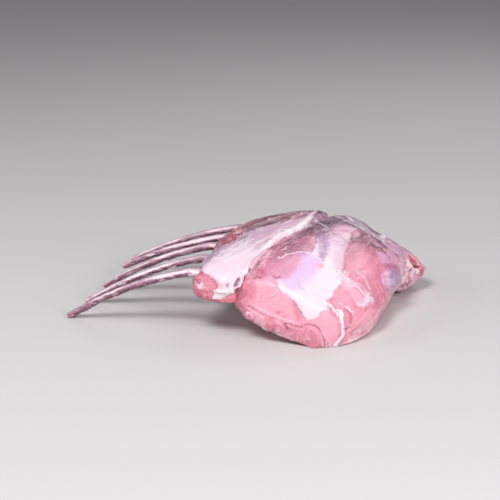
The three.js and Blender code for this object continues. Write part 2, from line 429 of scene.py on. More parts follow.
# Moist raw tissue. The sculpting gives each place its own colour, and says how filmy, webbed
# and stringy it is there. Blood darkens it in soft blotches, fibres and sinews run one way,
# and a web of fine pale threads lies over it.
def tissue(name, look):
    material = bpy.data.materials.new(name)
    material.use_nodes = True
    tree = material.node_tree
    tree.nodes.clear()

    def speckle(vector, size, detail, rough=0.5):
        return addNode(tree, "TexNoise", {}, {
            "Vector": vector, "Scale": 1 / (size * mm), "Detail": detail, "Roughness": rough,
        }).outputs

    def ranged(value, start, end, most=1, least=0):
        return addNode(tree, "MapRange", {}, {0: value, 1: start, 2: end, 3: least, 4: most}).outputs[0]

    def combine(operation, *values):
        return addNode(tree, "Math", {"operation": operation}, dict(enumerate(values))).outputs[0]

    place = addNode(tree, "TexCoord", {}, {}).outputs["Object"]
    painted = addNode(tree, "Attribute", {"attribute_name": "skinColour"}, {}).outputs["Color"]
    kinds = addNode(tree, "Attribute", {"attribute_name": "skinKinds"}, {}).outputs["Color"]
    film, web, strand = addNode(tree, "SeparateColor", {}, {0: kinds}).outputs
    bare = ranged(film, 0, 1, look["filmHides"], 1)
    warp = speckle(place, look["bendSize"], 2)["Color"]
    bent = addNode(tree, "VectorMath", {"operation": "MULTIPLY_ADD"}, {
        0: warp, 1: (look["bend"] * mm,) * 3, 2: place,
    }).outputs[0]
    stretch = addNode(tree, "Mapping", {}, {
        "Vector": bent, "Rotation": look["fibreTurn"], "Scale": look["fibreScale"],
    }).outputs[0]
    blotch = speckle(place, look["blotch"], 3, 0.6)[0]
    fibre = speckle(stretch, look["fibre"], 4, 0.6)[0]
    sinew = speckle(stretch, look["sinewSize"], 2)[0]
    threads = addNode(tree, "TexVoronoi", {"feature": "DISTANCE_TO_EDGE"}, {
        "Vector": bent, "Scale": 1 / (look["webCell"] * mm),
    }).outputs[0]
    grain = speckle(place, look["grain"], 3, 0.6)[0]
    loose = combine("MULTIPLY", ranged(blotch, *look["webPatches"]), web)
    # each sheet: what it follows, from where to where, how much at most, what allows it, its colour
    sheets = [
        (blotch, 0.42, 0.7, look["bloodAmount"], bare, look["blood"]),
        (fibre, 0.48, 0.7, look["fibreAmount"], bare, look["veil"]),
        (sinew, 0.55, 0.66, 0.85, strand, look["sinew"]),
        (sinew, 0.45, 0.34, 0.8, strand, look["gap"]),
        (grain, 0.56, 0.75, look["speckAmount"], bare, look["speck"]),
        (threads, 0.08, 0.02, 0.8, loose, look["thread"]),
    ]
    colour = painted
    for follows, start, end, most, allowed, tint in sheets:
        share = combine("MULTIPLY", ranged(follows, start, end, most), allowed)
        colour = addNode(tree, "Mix", {"data_type": "RGBA"}, {
            0: share, 6: colour, 7: toLinear(tint),
        }).outputs[2]
    wetness = ranged(blotch, 0.3, 0.7, look["rough"][1], look["rough"][0])
    height = combine("MULTIPLY", ranged(threads, look["threadWidth"], 0, look["threadBump"]), loose)
    height = combine("MULTIPLY_ADD", combine("MULTIPLY", sinew, strand), look["sinewBump"], height)
    height = combine("MULTIPLY_ADD", fibre, look["fibreBump"], height)
    height = combine("MULTIPLY_ADD", grain, look["grainBump"], height)
    bump = addNode(tree, "Bump", {}, {"Height": height, "Distance": mm, "Strength": 1}).outputs[0]
    surface = addNode(tree, "BsdfPrincipled", {}, {
        "Base Color": colour,
        "Roughness": wetness,
        "Normal": bump,
        "IOR": 1.4,
        "Subsurface Weight": look["soft"],
        "Subsurface Radius": (1.0, 0.38, 0.32),
        "Subsurface Scale": look["depth"] * mm,
        "Coat Weight": look["coat"],
        "Coat Roughness": 0.18,
        "Coat IOR": 1.35,
    }).outputs[0]
    addNode(tree, "OutputMaterial", {}, {"Surface": surface})
    return material


# Gives a finished piece its material, body, stand-in nodes and slot
def finish(piece, material, nodes):
    piece.data.materials.clear()
    piece.data.materials.append(material)
    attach(piece, "root")
    if nodes:
        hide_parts(*nodes)


# Fresh veal muscle, wet and smooth where its skin is on: pale pink with a faint grain. Real
# fibres are under 0.1 mm, so they are drawn as coarse as 2 mm bundles
vealMuscle = {
    "blotch": 14, "blood": "#D98DA0", "bloodAmount": 0.35,
    "bend": 5, "bendSize": 9, "fibre": 2.4, "fibreTurn": (0, 0, 0), "fibreScale": (1, 0.16, 1),
    "fibreAmount": 0.3, "veil": "#F9D0DC",
    "sinewSize": 3.2, "sinew": "#FBE6EE", "gap": "#8E4A62",
    "webCell": 6, "webPatches": (0.46, 0.58), "thread": "#FDF3F8", "threadWidth": 0.12, "threadBump": 0.4,
    "grain": 1.8, "speck": "#FBDDE6", "speckAmount": 0.2, "filmHides": 0.15,
    "rough": (0.28, 0.46), "fibreBump": 0.4, "grainBump": 0.2, "sinewBump": 2.5,
    "soft": 0.15, "depth": 3, "coat": 0.45,
}
# Muscle between the ribs: darker, stringy and less smooth
ribMeat = {
    **vealMuscle, "blotch": 9, "blood": "#9A4C60", "fibreScale": (0.4, 0.2, 1), "sinewSize": 4.5,
    "fibreBump": 0.8, "veil": "#DDA7B7", "gap": "#6E2A3F",
}
# Hard white fat with a pink cast: waxy, opaque and only softly shiny
coverFat = {
    **vealMuscle, "blotch": 16, "blood": "#EBCBDA", "bloodAmount": 0.5,
    "fibre": 5, "fibreScale": (1, 0.3, 1), "fibreAmount": 0.25, "veil": "#FFF7F8",
    "sinewSize": 5, "gap": "#BF9BB4", "sinew": "#FFFAFA",
    "fibreBump": 0.5, "rough": (0.4, 0.55), "coat": 0.15,
}
# Scraped rib bone, still filmed with moist pink tissue
scrapedBone = {
    **vealMuscle, "blotch": 7, "blood": "#C07F97", "fibre": 2.2, "fibreScale": (0.12, 1, 1),
    "veil": "#F0DCE6", "sinewSize": 2.6, "soft": 0.08, "gap": "#8A5068",
}
# Cartilage: pearly, smooth and slightly see-through
pearlCartilage = {
    **vealMuscle, "blotch": 8, "blood": "#8E7F9F", "fibre": 4, "fibreScale": (1, 0.5, 1),
    "veil": "#D9CBDD", "rough": (0.22, 0.35),
}


# The loin's cut face at the near end is rounded over and bulges, its far shoulder sinks beside
# a raised crown, its foot swells out, and its far tip droops. Pairs say where each starts and
# where it is full, in mm or as a share of the way that a normal faces.
loinShape = {
    "swell": 0.7, "voxel": 1.1, "soften": 24, "base": "#E291A6", "strand": 0.3, "lowest": 0.45,
    "rounds": 80, "roundStations": (18, 32), "roundHeights": (8, 30), "sharpFoot": 0.7,
    "bulge": 3, "bulgeFacing": (0.3, 0.9), "bulgeStations": (4, 16),
    "bulgeFoot": (0, 40), "bulgeTop": (55, 75),
    "farStations": (150, 195), "farHeights": (45, 60),
    "shoulderDrop": 6.6, "shoulderAcross": 42, "shoulderWidth": 25,
    "crownRise": 2, "crownAcross": 90, "crownWidth": 10,
    "footBulge": 5, "footStation": 62, "footLength": 40, "footTop": (18, 45), "footFacing": (0.1, 0.6),
    "tipDrop": 8, "tipDropRight": (168, 190), "tipDropUp": (32, 50),
    "tipReach": 5, "tipUnderRight": (158, 174), "tipUnderUp": (8, 34),
    "tipOutRight": (176, 192), "tipOutUp": (14, 28), "tipOutTop": (36, 50),
    "bumps": [(0.9, 24, 3, 2), (0.25, 5, 5, 3, (0.1, 1, -0.25), 7)],
    "blotches": [
        ("#EDA3B5", 0.8, -0.1, 0.5, 22, 16),
        ("#C4798F", 0.5, 0.2, 0.6, 9, 17, (0.1, 1, -0.25), 7),
        ("#EBC3D3", 0.5, 0.25, 0.6, 12, 19, (0.1, 1, -0.25), 7),
    ],
    # painted shade: the underside darkened towards dusky rose
    "under": ("#C4798F", 0.6, 0.1, 0.7),
    "cutFace": "#F0A3B6", "cutFacing": (0.35, 0.6), "cutStations": (222, 226),
}
loinMarks = [
    # wet rose groove beside the fat, then a plum veil over the shoulder
    area([(-8, 4), (-2, 24), (7, 37), (18, 50), (30, 62), (44, 72), (50, 58), (36, 46), (22, 38), (12, 30),
        (4, 22), (-2, 10)], "#E08FA6", edge=2.5, ragged=2, strand=0.3),
    area([(38, 50), (42, 60), (52, 71), (64, 80), (78, 88), (84, 84), (76, 70), (74, 58), (66, 50),
        (52, 49)], "#BC7D99", edge=3, ragged=2, film=0.3, strand=0.25),
    area([(58, 66), (68, 72), (75, 66), (72, 58), (60, 57)], "#D98FA6", edge=4, strand=0.1),
    area([(50, 70), (60, 79), (76, 86), (80, 78), (70, 72), (58, 68)], "#7C4862", edge=2.5, strand=0.6),
    area([(38, 58), (48, 68), (56, 66), (48, 57), (40, 52)], "#965A76", edge=3, strand=0.6),
    area([(28, 58), (34, 66), (42, 69), (40, 60), (33, 54)], "#C55F7B"),
    area([(-1, 26), (4, 36), (12, 42), (16, 40), (8, 32), (3, 26)], "#93546E", amount=0.9, strand=0.5),
    # painted shade: a dark line along the bottom of the groove
    stroke([(12, 42), (22, 52), (33, 64), (46, 75), (62, 86)], 2.6, "#7E3D57", edge=1.6, ragged=2,
        rise=-0.8),
    bundle([(6, 24), (18, 35), (34, 47)], [(8, 38), (22, 50), (38, 62)], 5, 0.9, "#FAE3EB", broken=True,
        seed=41, thin=0, patch=3, rise=0.3),
    bundle([(6, 22), (18, 33), (34, 45)], [(8, 36), (22, 48), (38, 60)], 4, 0.9, "#A65C78", broken=True,
        seed=42, thin=0, patch=3, rise=-0.4),
    bundle([(42, 52), (54, 62), (72, 76)], [(46, 66), (58, 76), (76, 86)], 5, 0.9, "#E9CBDA", broken=True,
        seed=43, thin=0.05, patch=4, rise=0.3),
    # smooth cut face, darkened at its left end and lower left by painted shade
    area([(-8, 0), (-4, 15), (1, 21), (8, 25.5), (18, 27), (31, 26), (42, 12), (52, 0), (60, -11), (72, -9),
        (80, -4), (88, -14), (93, -26), (90, -40), (76, -40), (64, -22), (46, -17), (20, -9)], "#F3A7BA",
        film=0.35, strand=0.03),
    area([(-9, -2), (-6, 12), (0, 22), (10, 25), (12, 14), (9, 4), (4, -2), (-2, -3)], "#D2738B", edge=4,
        amount=0.75),
    area([(-4, 4), (-1, 14), (3, 12), (2, 3)], "#B9566F", edge=3, amount=0.6),
    area([(-14, 10), (-6, 10), (2, 2), (12, -7), (24, -13), (18, -22), (4, -16), (-8, -6)], "#B05A72",
        edge=4, amount=0.7),
    stroke([(5, 22), (8, 25), (13, 25.5), (18, 27)], 1, "#FAD3DD", amount=0.5, ragged=2, rise=0.3),
    stroke([(15, 2), (17, 7), (21, 9), (25, 6), (30, 8), (34, 12)], 0.8, "#C87990", edge=0.6, amount=0.6,
        ragged=2, rise=-0.2),
    # painted highlight along the edge of the faint wavy line
    stroke([(16, 4), (19, 10), (24, 8), (30, 10), (35, 14)], 0.9, "#FBD2DC", edge=0.7, amount=0.7, ragged=2,
        thin=-0.1, patch=3),
    area([(47, 3), (51, 4), (56, -4), (57, -13), (53, -17), (50, -10)], "#D2758D", edge=3, amount=0.6,
        rise=-0.5),
    area([(31, -8), (36, -6), (41, -9), (42, -13), (36, -12)], "#CF7A90", thin=0, patch=2.5),
    # silverskin over the top of the eye, down to a tip on its cut face
    area([(63, -15), (57, -7), (51, 2), (43, 9), (36, 13.5), (31, 25), (36, 30), (46, 38), (58, 46),
        (69, 52), (74, 62), (76, 74), (82, 86), (98, 88), (117, 78), (113, 68), (108, 58), (103, 49),
        (102, 38), (97, 29), (99, 22), (95, 18), (90, 14), (87, 8), (80, 2), (85, -3), (83, -6), (74, -6.5),
        (74, -11), (70, -13)], "#EBDBE6", edge=0.5, ragged=1.8, grain=4, rise=0.5, film=1, strand=0.04),
    # painted shadow along the left edge of the silverskin
    stroke([(62, -15), (56, -7), (50, 2), (42, 9), (35, 13.5), (31, 24)], 0.9, "#B88BA3", amount=0.6,
        ragged=1.8, grain=4, rise=-0.3),
    area([(35, 24), (41, 34), (50, 42), (60, 44), (68, 38), (68, 28), (60, 20), (50, 12), (42, 12)],
        "#DFC3E8", edge=6, ragged=3, film=1, web=0.2),
    area([(46, 38), (52, 48), (64, 51), (76, 46), (78, 38), (70, 30), (58, 30)], "#DDB9E8", edge=5,
        ragged=3, film=1),
    area([(12, 30), (22, 40), (34, 47), (48, 50), (56, 46), (54, 36), (44, 27), (34, 24), (20, 26)],
        "#DB98B2", edge=5, ragged=3, film=0.8, strand=0.08),
    area([(12, 32), (20, 42), (32, 48), (36, 42), (30, 34), (20, 28)], "#CD809C", edge=4, amount=0.7,
        ragged=3),
    area([(0, 22.5), (4, 31), (12, 36), (20, 34), (20, 26), (9, 24)], "#BC6480", amount=0.8, ragged=2.5),
    bundle([(1, 28), (6, 36), (15, 45), (26, 55)], [(5, 26), (12, 35), (20, 43), (30, 52)], 3, 1.1,
        "#9C4F6B", edge=0.7, seed=46, amount=0.8, rise=-0.7),
    bundle([(2, 28), (7, 35), (16, 44), (27, 54)], [(6, 25), (13, 34), (21, 42), (31, 51)], 3, 0.9,
        "#F0B4C8", edge=0.6, seed=47, amount=0.75, thin=-0.1, patch=3, rise=0.5),
    area([(5, 38), (9, 45), (15, 52), (20, 57), (22, 54), (17, 48), (12, 42), (8, 36)], "#F4CBDA", edge=1.5,
        ragged=2, grain=3, rise=0.8, film=0.5),
    stroke([(10, 24.5), (14, 26.5), (18, 25.5)], 1.3, "#8E435D", edge=0.7, rise=-0.6),
    stroke([(29, 27.5), (31, 25.5), (35, 27)], 1.3, "#7E5470", edge=0.7, rise=-0.6),
    area([(24, 48), (34, 58), (50, 67), (63, 66), (68, 58), (58, 50), (42, 46), (30, 43)], "#A8627E",
        edge=6, amount=0.8, ragged=3, film=0.6),
    area([(14, 44), (19, 51), (25, 57), (27, 51), (22, 45)], "#F4B9CD", edge=0.8, ragged=2, grain=3,
        thin=-0.05, patch=2.5, rise=1.2),
    area([(74, 76), (82, 82), (90, 80), (90, 68), (86, 54), (81, 44), (76, 46), (76, 56), (73, 66)],
        "#AE83AC", edge=4.5, ragged=3, film=1, web=0.5),
    area([(88, 74), (96, 78), (107, 68), (103, 50), (97, 34), (90, 38), (91, 56)], "#DDB0C8", edge=5,
        amount=0.7),
    # painted shade, darker towards the far top of the shoulder
    area([(66, 72), (72, 90), (96, 92), (116, 84), (110, 75), (98, 72), (84, 66)], "#8F607C", edge=6,
        amount=0.75, film=0.6),
    area([(64, 86), (70, 96), (92, 97), (110, 90), (120, 82), (110, 79), (94, 80), (80, 77), (68, 75)],
        "#4C2D45", edge=4, ragged=3, film=0.3, web=0.15, strand=0.2),
    area([(55, 66), (58, 75), (68, 78), (71, 71), (65, 67)], "#7A4660", edge=3, amount=0.85, ragged=3),
    area([(62, 74), (66, 86), (78, 90), (85, 84), (80, 76), (71, 70)], "#5E3850", edge=3.5, amount=0.85,
        ragged=3),
    area([(98, 80), (110, 79), (114, 72), (104, 70), (94, 74)], "#DCA5C1", edge=4, film=0.7),
    stroke([(78, 83), (84, 79), (88, 74), (90, 68)], 0.8, "#F6E6F4", amount=0.75, ragged=1, thin=0.1,
        rise=0.2),
    stroke([(74, 71), (79, 75), (85, 74), (91, 71)], 0.7, "#F1DDEE", amount=0.6, ragged=1, thin=0.1,
        rise=0.2),
    stroke([(70, 67), (75, 64), (79, 59), (81, 53)], 0.8, "#F8EAF8", amount=0.6, ragged=1, thin=0.1,
        rise=0.2),
    stroke([(34, 46), (44, 49.5), (54, 51.5), (63, 51), (71, 48), (77, 44)], 1.1, "#FBE6F2", edge=0.5,
        ragged=2, rise=0.6),
    stroke([(35, 48), (45, 51.5), (55, 53.5), (63, 53)], 1.4, "#98607C", amount=0.6, rise=-0.4),
    bundle([(84, 56), (92, 57), (102, 52)], [(84, 72), (96, 74), (106, 67)], 4, 0.8, "#CDB0C6", amount=0.6,
        ragged=2, rise=-0.4),
    area([(93, 36), (98, 37), (99, 27), (92, 26)], "#8F7A8C", edge=0.8, amount=0.7, thin=0.25, patch=2),
    area([(72, 39), (76, 40), (80, 38), (79.5, 35), (75, 35)], "#EDA5A3", edge=1.2, amount=0.85),
    stroke([(53, 24), (55, 18), (58, 14)], 1.6, "#C9AFD0", edge=1.5, amount=0.7),
    # folds that run from the left end of the face over the lip, with painted shade in their creases and
    # painted highlights on their ridges
    stroke([(4, -2), (12, -8), (20, -12), (30, -16), (38, -18.5), (48, -21), (56, -23)], 1.8, "#AE5F78",
        edge=1, amount=0.8, rise=-1.1),
    stroke([(5, 0), (13, -5), (22, -9), (31, -12.5), (40, -16), (49, -18.5), (56, -21)], 3.2, "#F2ABBC",
        edge=1.6, amount=0.7, rise=0.9),
    bundle([(2, 6), (9, -1), (18, -8)], [(-4, 1), (3, -6), (12, -13)], 4, 0.9, "#BE6A82", amount=0.8,
        ragged=1, rise=-0.6),
    bundle([(3, 7), (10, 0), (19, -7)], [(-3, 2), (4, -5), (13, -12)], 4, 0.9, "#EFA6B8", amount=0.7,
        ragged=1, rise=0.4),
    area([(44, -22), (52, -22), (60, -21), (67, -30), (66, -44), (50, -38), (42, -30)], "#D9869C", edge=3),
    stroke([(79.5, -36), (82, -39.5), (87, -41)], 2, "#A2506A", edge=1, ragged=0.5, rise=-1.4),
    stroke([(60, -19.5), (66, -19), (72, -22), (76.5, -28), (79, -35), (79.5, -43)], 2, "#B9667E", edge=1,
        ragged=0.6),
    stroke([(76.5, -27), (80, -33), (81, -39), (80.5, -43)], 1, "#FACBD6", edge=0.6, ragged=0.6, rise=0.4),
    # chine side: rounded muscle under a dark cap, with painted shade down its right side
    area([(104, 49), (108, 58), (120, 63), (134, 58), (142, 50), (150, 32), (148, 8), (134, -16),
        (120, -30), (94, -42), (92, -20), (81, -3), (93, 9), (103, 22), (98, 34)], "#E186A1", edge=2.5,
        film=0, strand=0.05),
    area([(110, 48), (120, 52), (130, 46), (134, 34), (124, 26), (112, 34)], "#E892AC", edge=6, amount=0.8),
    area([(104, 46), (107, 63), (124, 68), (142, 60), (148, 47), (136, 46), (121, 49), (110, 45)],
        "#B76480", edge=7, amount=0.85),
    # painted shade down the right side of the rounded muscle
    area([(126, 40), (136, 46), (146, 34), (146, 10), (136, -8), (130, 4), (132, 22)], "#D97797", edge=5,
        amount=0.8),
    stroke([(101, 30), (104, 40), (105, 50), (112, 58), (124, 62)], 3, "#C17C95", edge=3, amount=0.6),
    area([(111, 60), (113, 69), (119, 74), (130, 72), (143, 66), (153, 57), (146, 52), (134, 57), (123, 61),
        (114, 61)], "#87435F", edge=3, ragged=3, strand=0.1),
    area([(129, 72), (138, 70), (146, 63), (139, 62), (131, 67)], "#6E2E47", edge=1.5),
    # painted highlight on the dark cap
    area([(110, 72), (118, 74), (124, 70), (114, 67)], "#C98CA2"),
    # pale veil and lines across it
    area([(103, 28), (114, 19), (124, 10), (129, 4), (126, 1), (119, -3), (112, -2), (107, 6), (99, 17),
        (97, 22), (99, 30)], "#EAB2C7", ragged=3, film=0.6),
    area([(98, 34), (104, 31), (108, 24), (103, 20), (97, 25)], "#F7DCE9", ragged=2.5, thin=0, patch=3,
        film=0.8),
    bundle([(106, 40), (116, 34), (124, 26), (129, 14)], [(101, 26), (110, 18), (118, 10), (124, 4)], 6,
        0.6, "#F9D3DF", broken=True, seed=9, amount=0.7, rise=0.2),
    bundle([(105, 38), (115, 32), (123, 24), (128, 12)], [(100, 24), (109, 16), (117, 8), (123, 2)], 4, 0.8,
        "#D0809A", broken=True, seed=10, amount=0.7, rise=-0.3),
    area([(111, -0.5), (118, 1), (119, 4.5), (125, 10), (126.5, 6), (129.5, 4.5), (126.5, 1.5), (122, 0.5),
        (119, -3), (115, -2)], "#F2D6E6", edge=0.7, ragged=2.6, grain=3, thin=-0.25, patch=3, rise=0.7,
        film=1),
    area([(90, 13), (98, 13), (106, 6), (108, 0), (102, -3), (94, -3), (88, 2)], "#F3A0B6", edge=2.5,
        rise=0.5),
    stroke([(97, -1), (103, -6), (106, -12), (105, -18), (100, -24)], 2, "#C25C77", edge=1.5, amount=0.8,
        rise=-1),
    stroke([(94, 2), (101, -3), (108, -8)], 1, "#FBD9E2", amount=0.8, rise=0.4),
    stroke([(79, 2), (84, -1), (89, -6), (93, -11)], 2.8, "#F7E7EE", edge=0.6, ragged=2, grain=3, thin=-0.3,
        patch=3, rise=0.7),
    area([(100, -25), (107, -20), (113, -14), (119, -7), (127, -6), (132, -12), (128, -24), (118, -33),
        (106, -39), (97, -41)], "#F29DB4", rise=1),
    stroke([(100, -24), (107, -19), (113, -13), (118, -7), (120, -5)], 1.2, "#B24E6A", amount=0.8, ragged=1,
        rise=-1),
    stroke([(101, -22), (108, -17), (114, -11), (119, -4)], 1, "#F7BFCC", rise=0.4),
    area([(106, -2), (114, -6), (120, -14), (116, -24), (108, -18), (107, -8)], "#F6A3BA", edge=3,
        amount=0.8),
    bundle([(127, 2), (130, -7), (129, -15), (126, -20)], [(141, 10), (144, 0), (140, -8), (134, -14)], 3,
        1.6, "#C9657F", edge=1.3, seed=4, amount=0.7, rise=-0.8),
    bundle([(130, 20), (134, 12), (134, 2), (131, -8)], [(144, 26), (147, 14), (145, 4), (140, -4)], 3, 1.2,
        "#F5AFBF", edge=1, seed=6, amount=0.6, rise=0.5),
    bundle([(100, -37), (112, -31), (124, -22), (134, -11)], [(104, -27), (114, -19), (124, -9), (131, 1)],
        7, 1.5, "#D96F8C", broken=True, seed=48, amount=0.7, rise=-0.4),
    bundle([(99, -38), (111, -32), (123, -23), (134, -12)], [(105, -28), (115, -20), (125, -10), (132, 0)],
        6, 1, "#FAD9E2", broken=True, seed=49, amount=0.75, rise=0.4),
    stroke([(84, -40), (94, -39.5), (105, -34.5), (117, -28.5), (127, -21.5), (135, -14.5), (145, -5),
        (150, 4)], 2.2, "#FDEBF0", ragged=1, thin=-0.25, rise=0.3),
    # lilac patch and mottled end, with a split red tip
    area([(139, 48), (144, 53), (152, 53), (163, 46), (166, 40), (158, 36), (146, 38)], "#DCA0C2", edge=2.5,
        rise=0.4, film=0.6, strand=0.1),
    area([(152, 62), (160, 62), (172, 54), (170, 46), (160, 48), (153, 55)], "#C793B2", edge=3, ragged=3,
        film=0.6, strand=0.1),
    area([(150, 36), (157, 40), (168, 40), (176, 46), (172, 34), (166, 30)], "#E9BFD8", ragged=3, film=0.6),
    area([(144, 38), (156, 40), (166, 34), (163, 28), (152, 32)], "#C8789A", rise=-0.5),
    area([(141, 27), (145, 32), (153, 33), (161, 30), (166, 22), (164, 14), (156, 11), (148, 15)],
        "#E9BAD6", edge=2.5, ragged=2, rise=0.8, film=0.8),
    area([(158, 56), (166, 60), (178, 52), (188, 44), (194, 34), (188, 22), (178, 12), (166, 8), (160, 14),
        (166, 26), (168, 36)], "#E2A2BC", ragged=2.5, film=0.4, web=0.2, strand=0.2),
    area([(162, 54), (172, 52), (184, 42), (190, 30), (182, 16), (166, 10), (166, 30)], "#F5D9E5", edge=0.8,
        thin=0.05, rise=0.7, film=0.6),
    area([(162, 54), (172, 52), (184, 42), (186, 28), (178, 14), (166, 12), (166, 30)], "#B5668A", edge=0.8,
        thin=0.2, patch=4.5, rise=-0.8),
    area([(176, 50), (186, 47), (191, 40), (196, 33), (195, 26), (188, 26), (190, 32), (184, 37),
        (178, 44)], "#C24E69", edge=1, ragged=1, strand=0.1),
    stroke([(177, 51), (184, 46), (189, 40), (192, 34)], 2, "#F4AFBB", ragged=1, rise=0.8),
    # painted shade: a near-black line down the split between the tip's two lobes
    stroke([(180, 42), (184, 37), (187, 35), (191, 36)], 1.8, "#3E0D1B", ragged=0.6, rise=-2.2),
    stroke([(179, 40), (183, 34), (188, 32), (190, 28)], 1.6, "#FAE3E0", ragged=0.8, rise=0.8),
    bundle([(164, 10), (172, 16), (182, 22), (190, 30)], [(160, 20), (168, 26), (176, 33), (182, 40)], 3,
        2.2, "#F8DCE2", edge=1.2, broken=True, seed=17, ragged=3, rise=0.9),
    bundle([(166, 9), (174, 14), (184, 20), (192, 28)], [(161, 18), (169, 23), (178, 30), (184, 37)], 3,
        1.8, "#9A4C68", edge=1, broken=True, seed=18, ragged=3, rise=-0.9),
    area([(150, 1), (154, 9), (160, 15), (166, 18), (165, 12), (158, 4)], "#F6E3EA", edge=0.8, ragged=2,
        rise=0.6, film=0.8),
    # membrane strands over the far shoulder and down towards the tip
    area([(78, 88), (88, 84), (101, 84), (112, 80), (122, 77), (133, 74), (144, 68), (155, 57), (164, 47),
        (178, 54), (168, 68), (150, 84), (120, 104), (84, 102)], "#7E6379", edge=2.5, ragged=2, film=0.3,
        strand=0.15),
    area([(148, 68), (154, 76), (168, 66), (180, 56), (174, 50), (160, 56)], "#CF8FAC", edge=3, thin=-0.1,
        patch=7, film=0.4),
    bundle([(80, 99), (110, 97), (130, 88), (146, 74), (172, 54)], [(80, 87), (104, 84), (126, 76),
        (144, 66), (163, 47)], 12, 1.7, "#64475D", edge=1, broken=True, seed=12, amount=0.85, ragged=2,
        grain=16, rise=-0.8),
    bundle([(80, 100), (110, 98), (130, 89), (146, 75), (172, 55)], [(80, 88), (104, 85), (126, 77),
        (144, 67), (163, 48)], 14, 1.1, "#D9C8D6", broken=True, seed=13, amount=0.8, ragged=2, grain=16,
        rise=0.7),
    area([(116, 67), (126, 71), (138, 66), (151, 55), (146, 51), (134, 58), (120, 62)], "#763650", edge=3,
        amount=0.65, ragged=3),
    stroke([(84, 97), (96, 97), (108, 94), (118, 89)], 1.6, "#FAF2F6", ragged=2, grain=10, rise=0.8),
    stroke([(120, 84), (130, 79), (140, 71), (150, 62)], 0.9, "#F3E7EF", edge=0.6, ragged=2, grain=10,
        rise=0.6),
    bundle([(126, 73), (138, 65), (152, 53), (162, 41)], [(132, 65), (141, 58), (149, 51), (156, 43)], 4,
        1.4, "#C793AE", edge=1, broken=True, seed=3, amount=0.8, rise=0.5),
    bundle([(122, 70), (136, 62), (150, 50), (160, 38)], [(128, 62), (138, 55), (147, 48), (154, 40)], 4, 1,
        "#743F5A", broken=True, amount=0.8, rise=-0.6),
    area([(152, 60), (160, 62), (170, 58), (178, 50), (172, 46), (160, 49), (154, 54)], "#DCAAC8", edge=3,
        amount=0.8, ragged=3, film=0.5),
]


# The far cut end, in mm across from the chine edge and up: the eye of the loin ringed with
# membrane, the chine muscle, and the fat seam between them
farEndMarks = [
    area([(-10, 14), (2, 4), (24, 2), (38, 16), (36, 34), (22, 40), (4, 32)], "#DB8198", edge=1.5,
        strand=0.08),
    area([(36, 34), (44, 18), (58, 10), (76, 18), (86, 34), (84, 54), (70, 66), (54, 64), (42, 52)],
        "#EFA4B7", edge=1.5, rise=0.5),
    area([(50, 26), (60, 20), (68, 28), (60, 36)], "#D57C93", edge=4, amount=0.6),
    area([(66, 44), (76, 40), (80, 50), (70, 56)], "#D98298", edge=4, amount=0.6),
    bundle([(46, 54), (60, 62), (76, 54)], [(44, 22), (60, 14), (78, 24)], 9, 0.9, "#F7C9D5", broken=True,
        seed=61, amount=0.6, rise=0.2),
    bundle([(-4, 26), (12, 34), (28, 34)], [(0, 8), (16, 4), (32, 14)], 5, 0.9, "#F0AEBF", broken=True,
        seed=62, amount=0.6, rise=0.2),
    stroke([(37, 16), (38, 28), (36, 36), (42, 52), (54, 64), (70, 66), (84, 54), (87, 34), (77, 17),
        (58, 9)], 1.2, "#F6DFE8", edge=0.6, amount=0.9, rise=0.4, film=0.6),
    stroke([(4, 33), (20, 41), (32, 46), (40, 56), (46, 70), (50, 84)], 2.6, "#F8E9EF", ragged=2, grain=4,
        rise=0.7),
    stroke([(37, 34), (34, 41), (30, 45)], 2, "#F8E9EF", rise=0.5),
    stroke([(50, 74), (64, 72), (80, 62), (90, 46)], 3, "#E6CBDB", edge=1.5, amount=0.8, ragged=2,
        film=0.8),
]


def nearEnd(piece):
    shape = loinShape
    skin = study(piece, shape["base"])
    low = 1 - smooth(*shape["roundHeights"], skin["height"])
    return (1 - smooth(*shape["roundStations"], skin["station"])) * (1 - shape["sharpFoot"] * low)


# How far the cut face at the near end swells outwards
def faceSwell(skin):
    shape = loinShape
    face = smooth(*shape["bulgeFacing"], -skin["normals"][:, 1])
    face = face * (1 - smooth(*shape["bulgeStations"], skin["station"]))
    rise = shape["bulge"] * face * smooth(*shape["bulgeFoot"], skin["height"])
    return rise * (1 - smooth(*shape["bulgeTop"], skin["height"]))


def farTop(skin):
    shape = loinShape
    return smooth(*shape["farStations"], skin["station"]) * smooth(*shape["farHeights"], skin["height"])


# A hump that fades out on both sides of its middle
def hump(values, middle, width):
    return np.exp(-((values - middle) / width) ** 2)


# How far the far shoulder lies under the stand-in solids
def shoulderSink(skin):
    shape = loinShape
    drop = shape["shoulderDrop"] * farTop(skin)
    return drop * hump(skin["across"], shape["shoulderAcross"], shape["shoulderWidth"])


# The far tip droops into a blunt point
def taperTip(skin):
    shape = loinShape
    right, up = skin["quarter"].T
    drop = shape["tipDrop"] * smooth(*shape["tipDropRight"], right) * smooth(*shape["tipDropUp"], up)
    under = 1 - smooth(*shape["tipUnderUp"], up)
    drop += shape["tipReach"] * smooth(*shape["tipUnderRight"], right) * under
    out = shape["tipReach"] * smooth(*shape["tipOutRight"], right) * smooth(*shape["tipOutUp"], up)
    out = out * (1 - smooth(*shape["tipOutTop"], up))
    skin["points"] += np.outer(out, skin["right"]) - np.outer(drop, skin["up"])
    skin["quarter"] += np.column_stack([out, -drop])


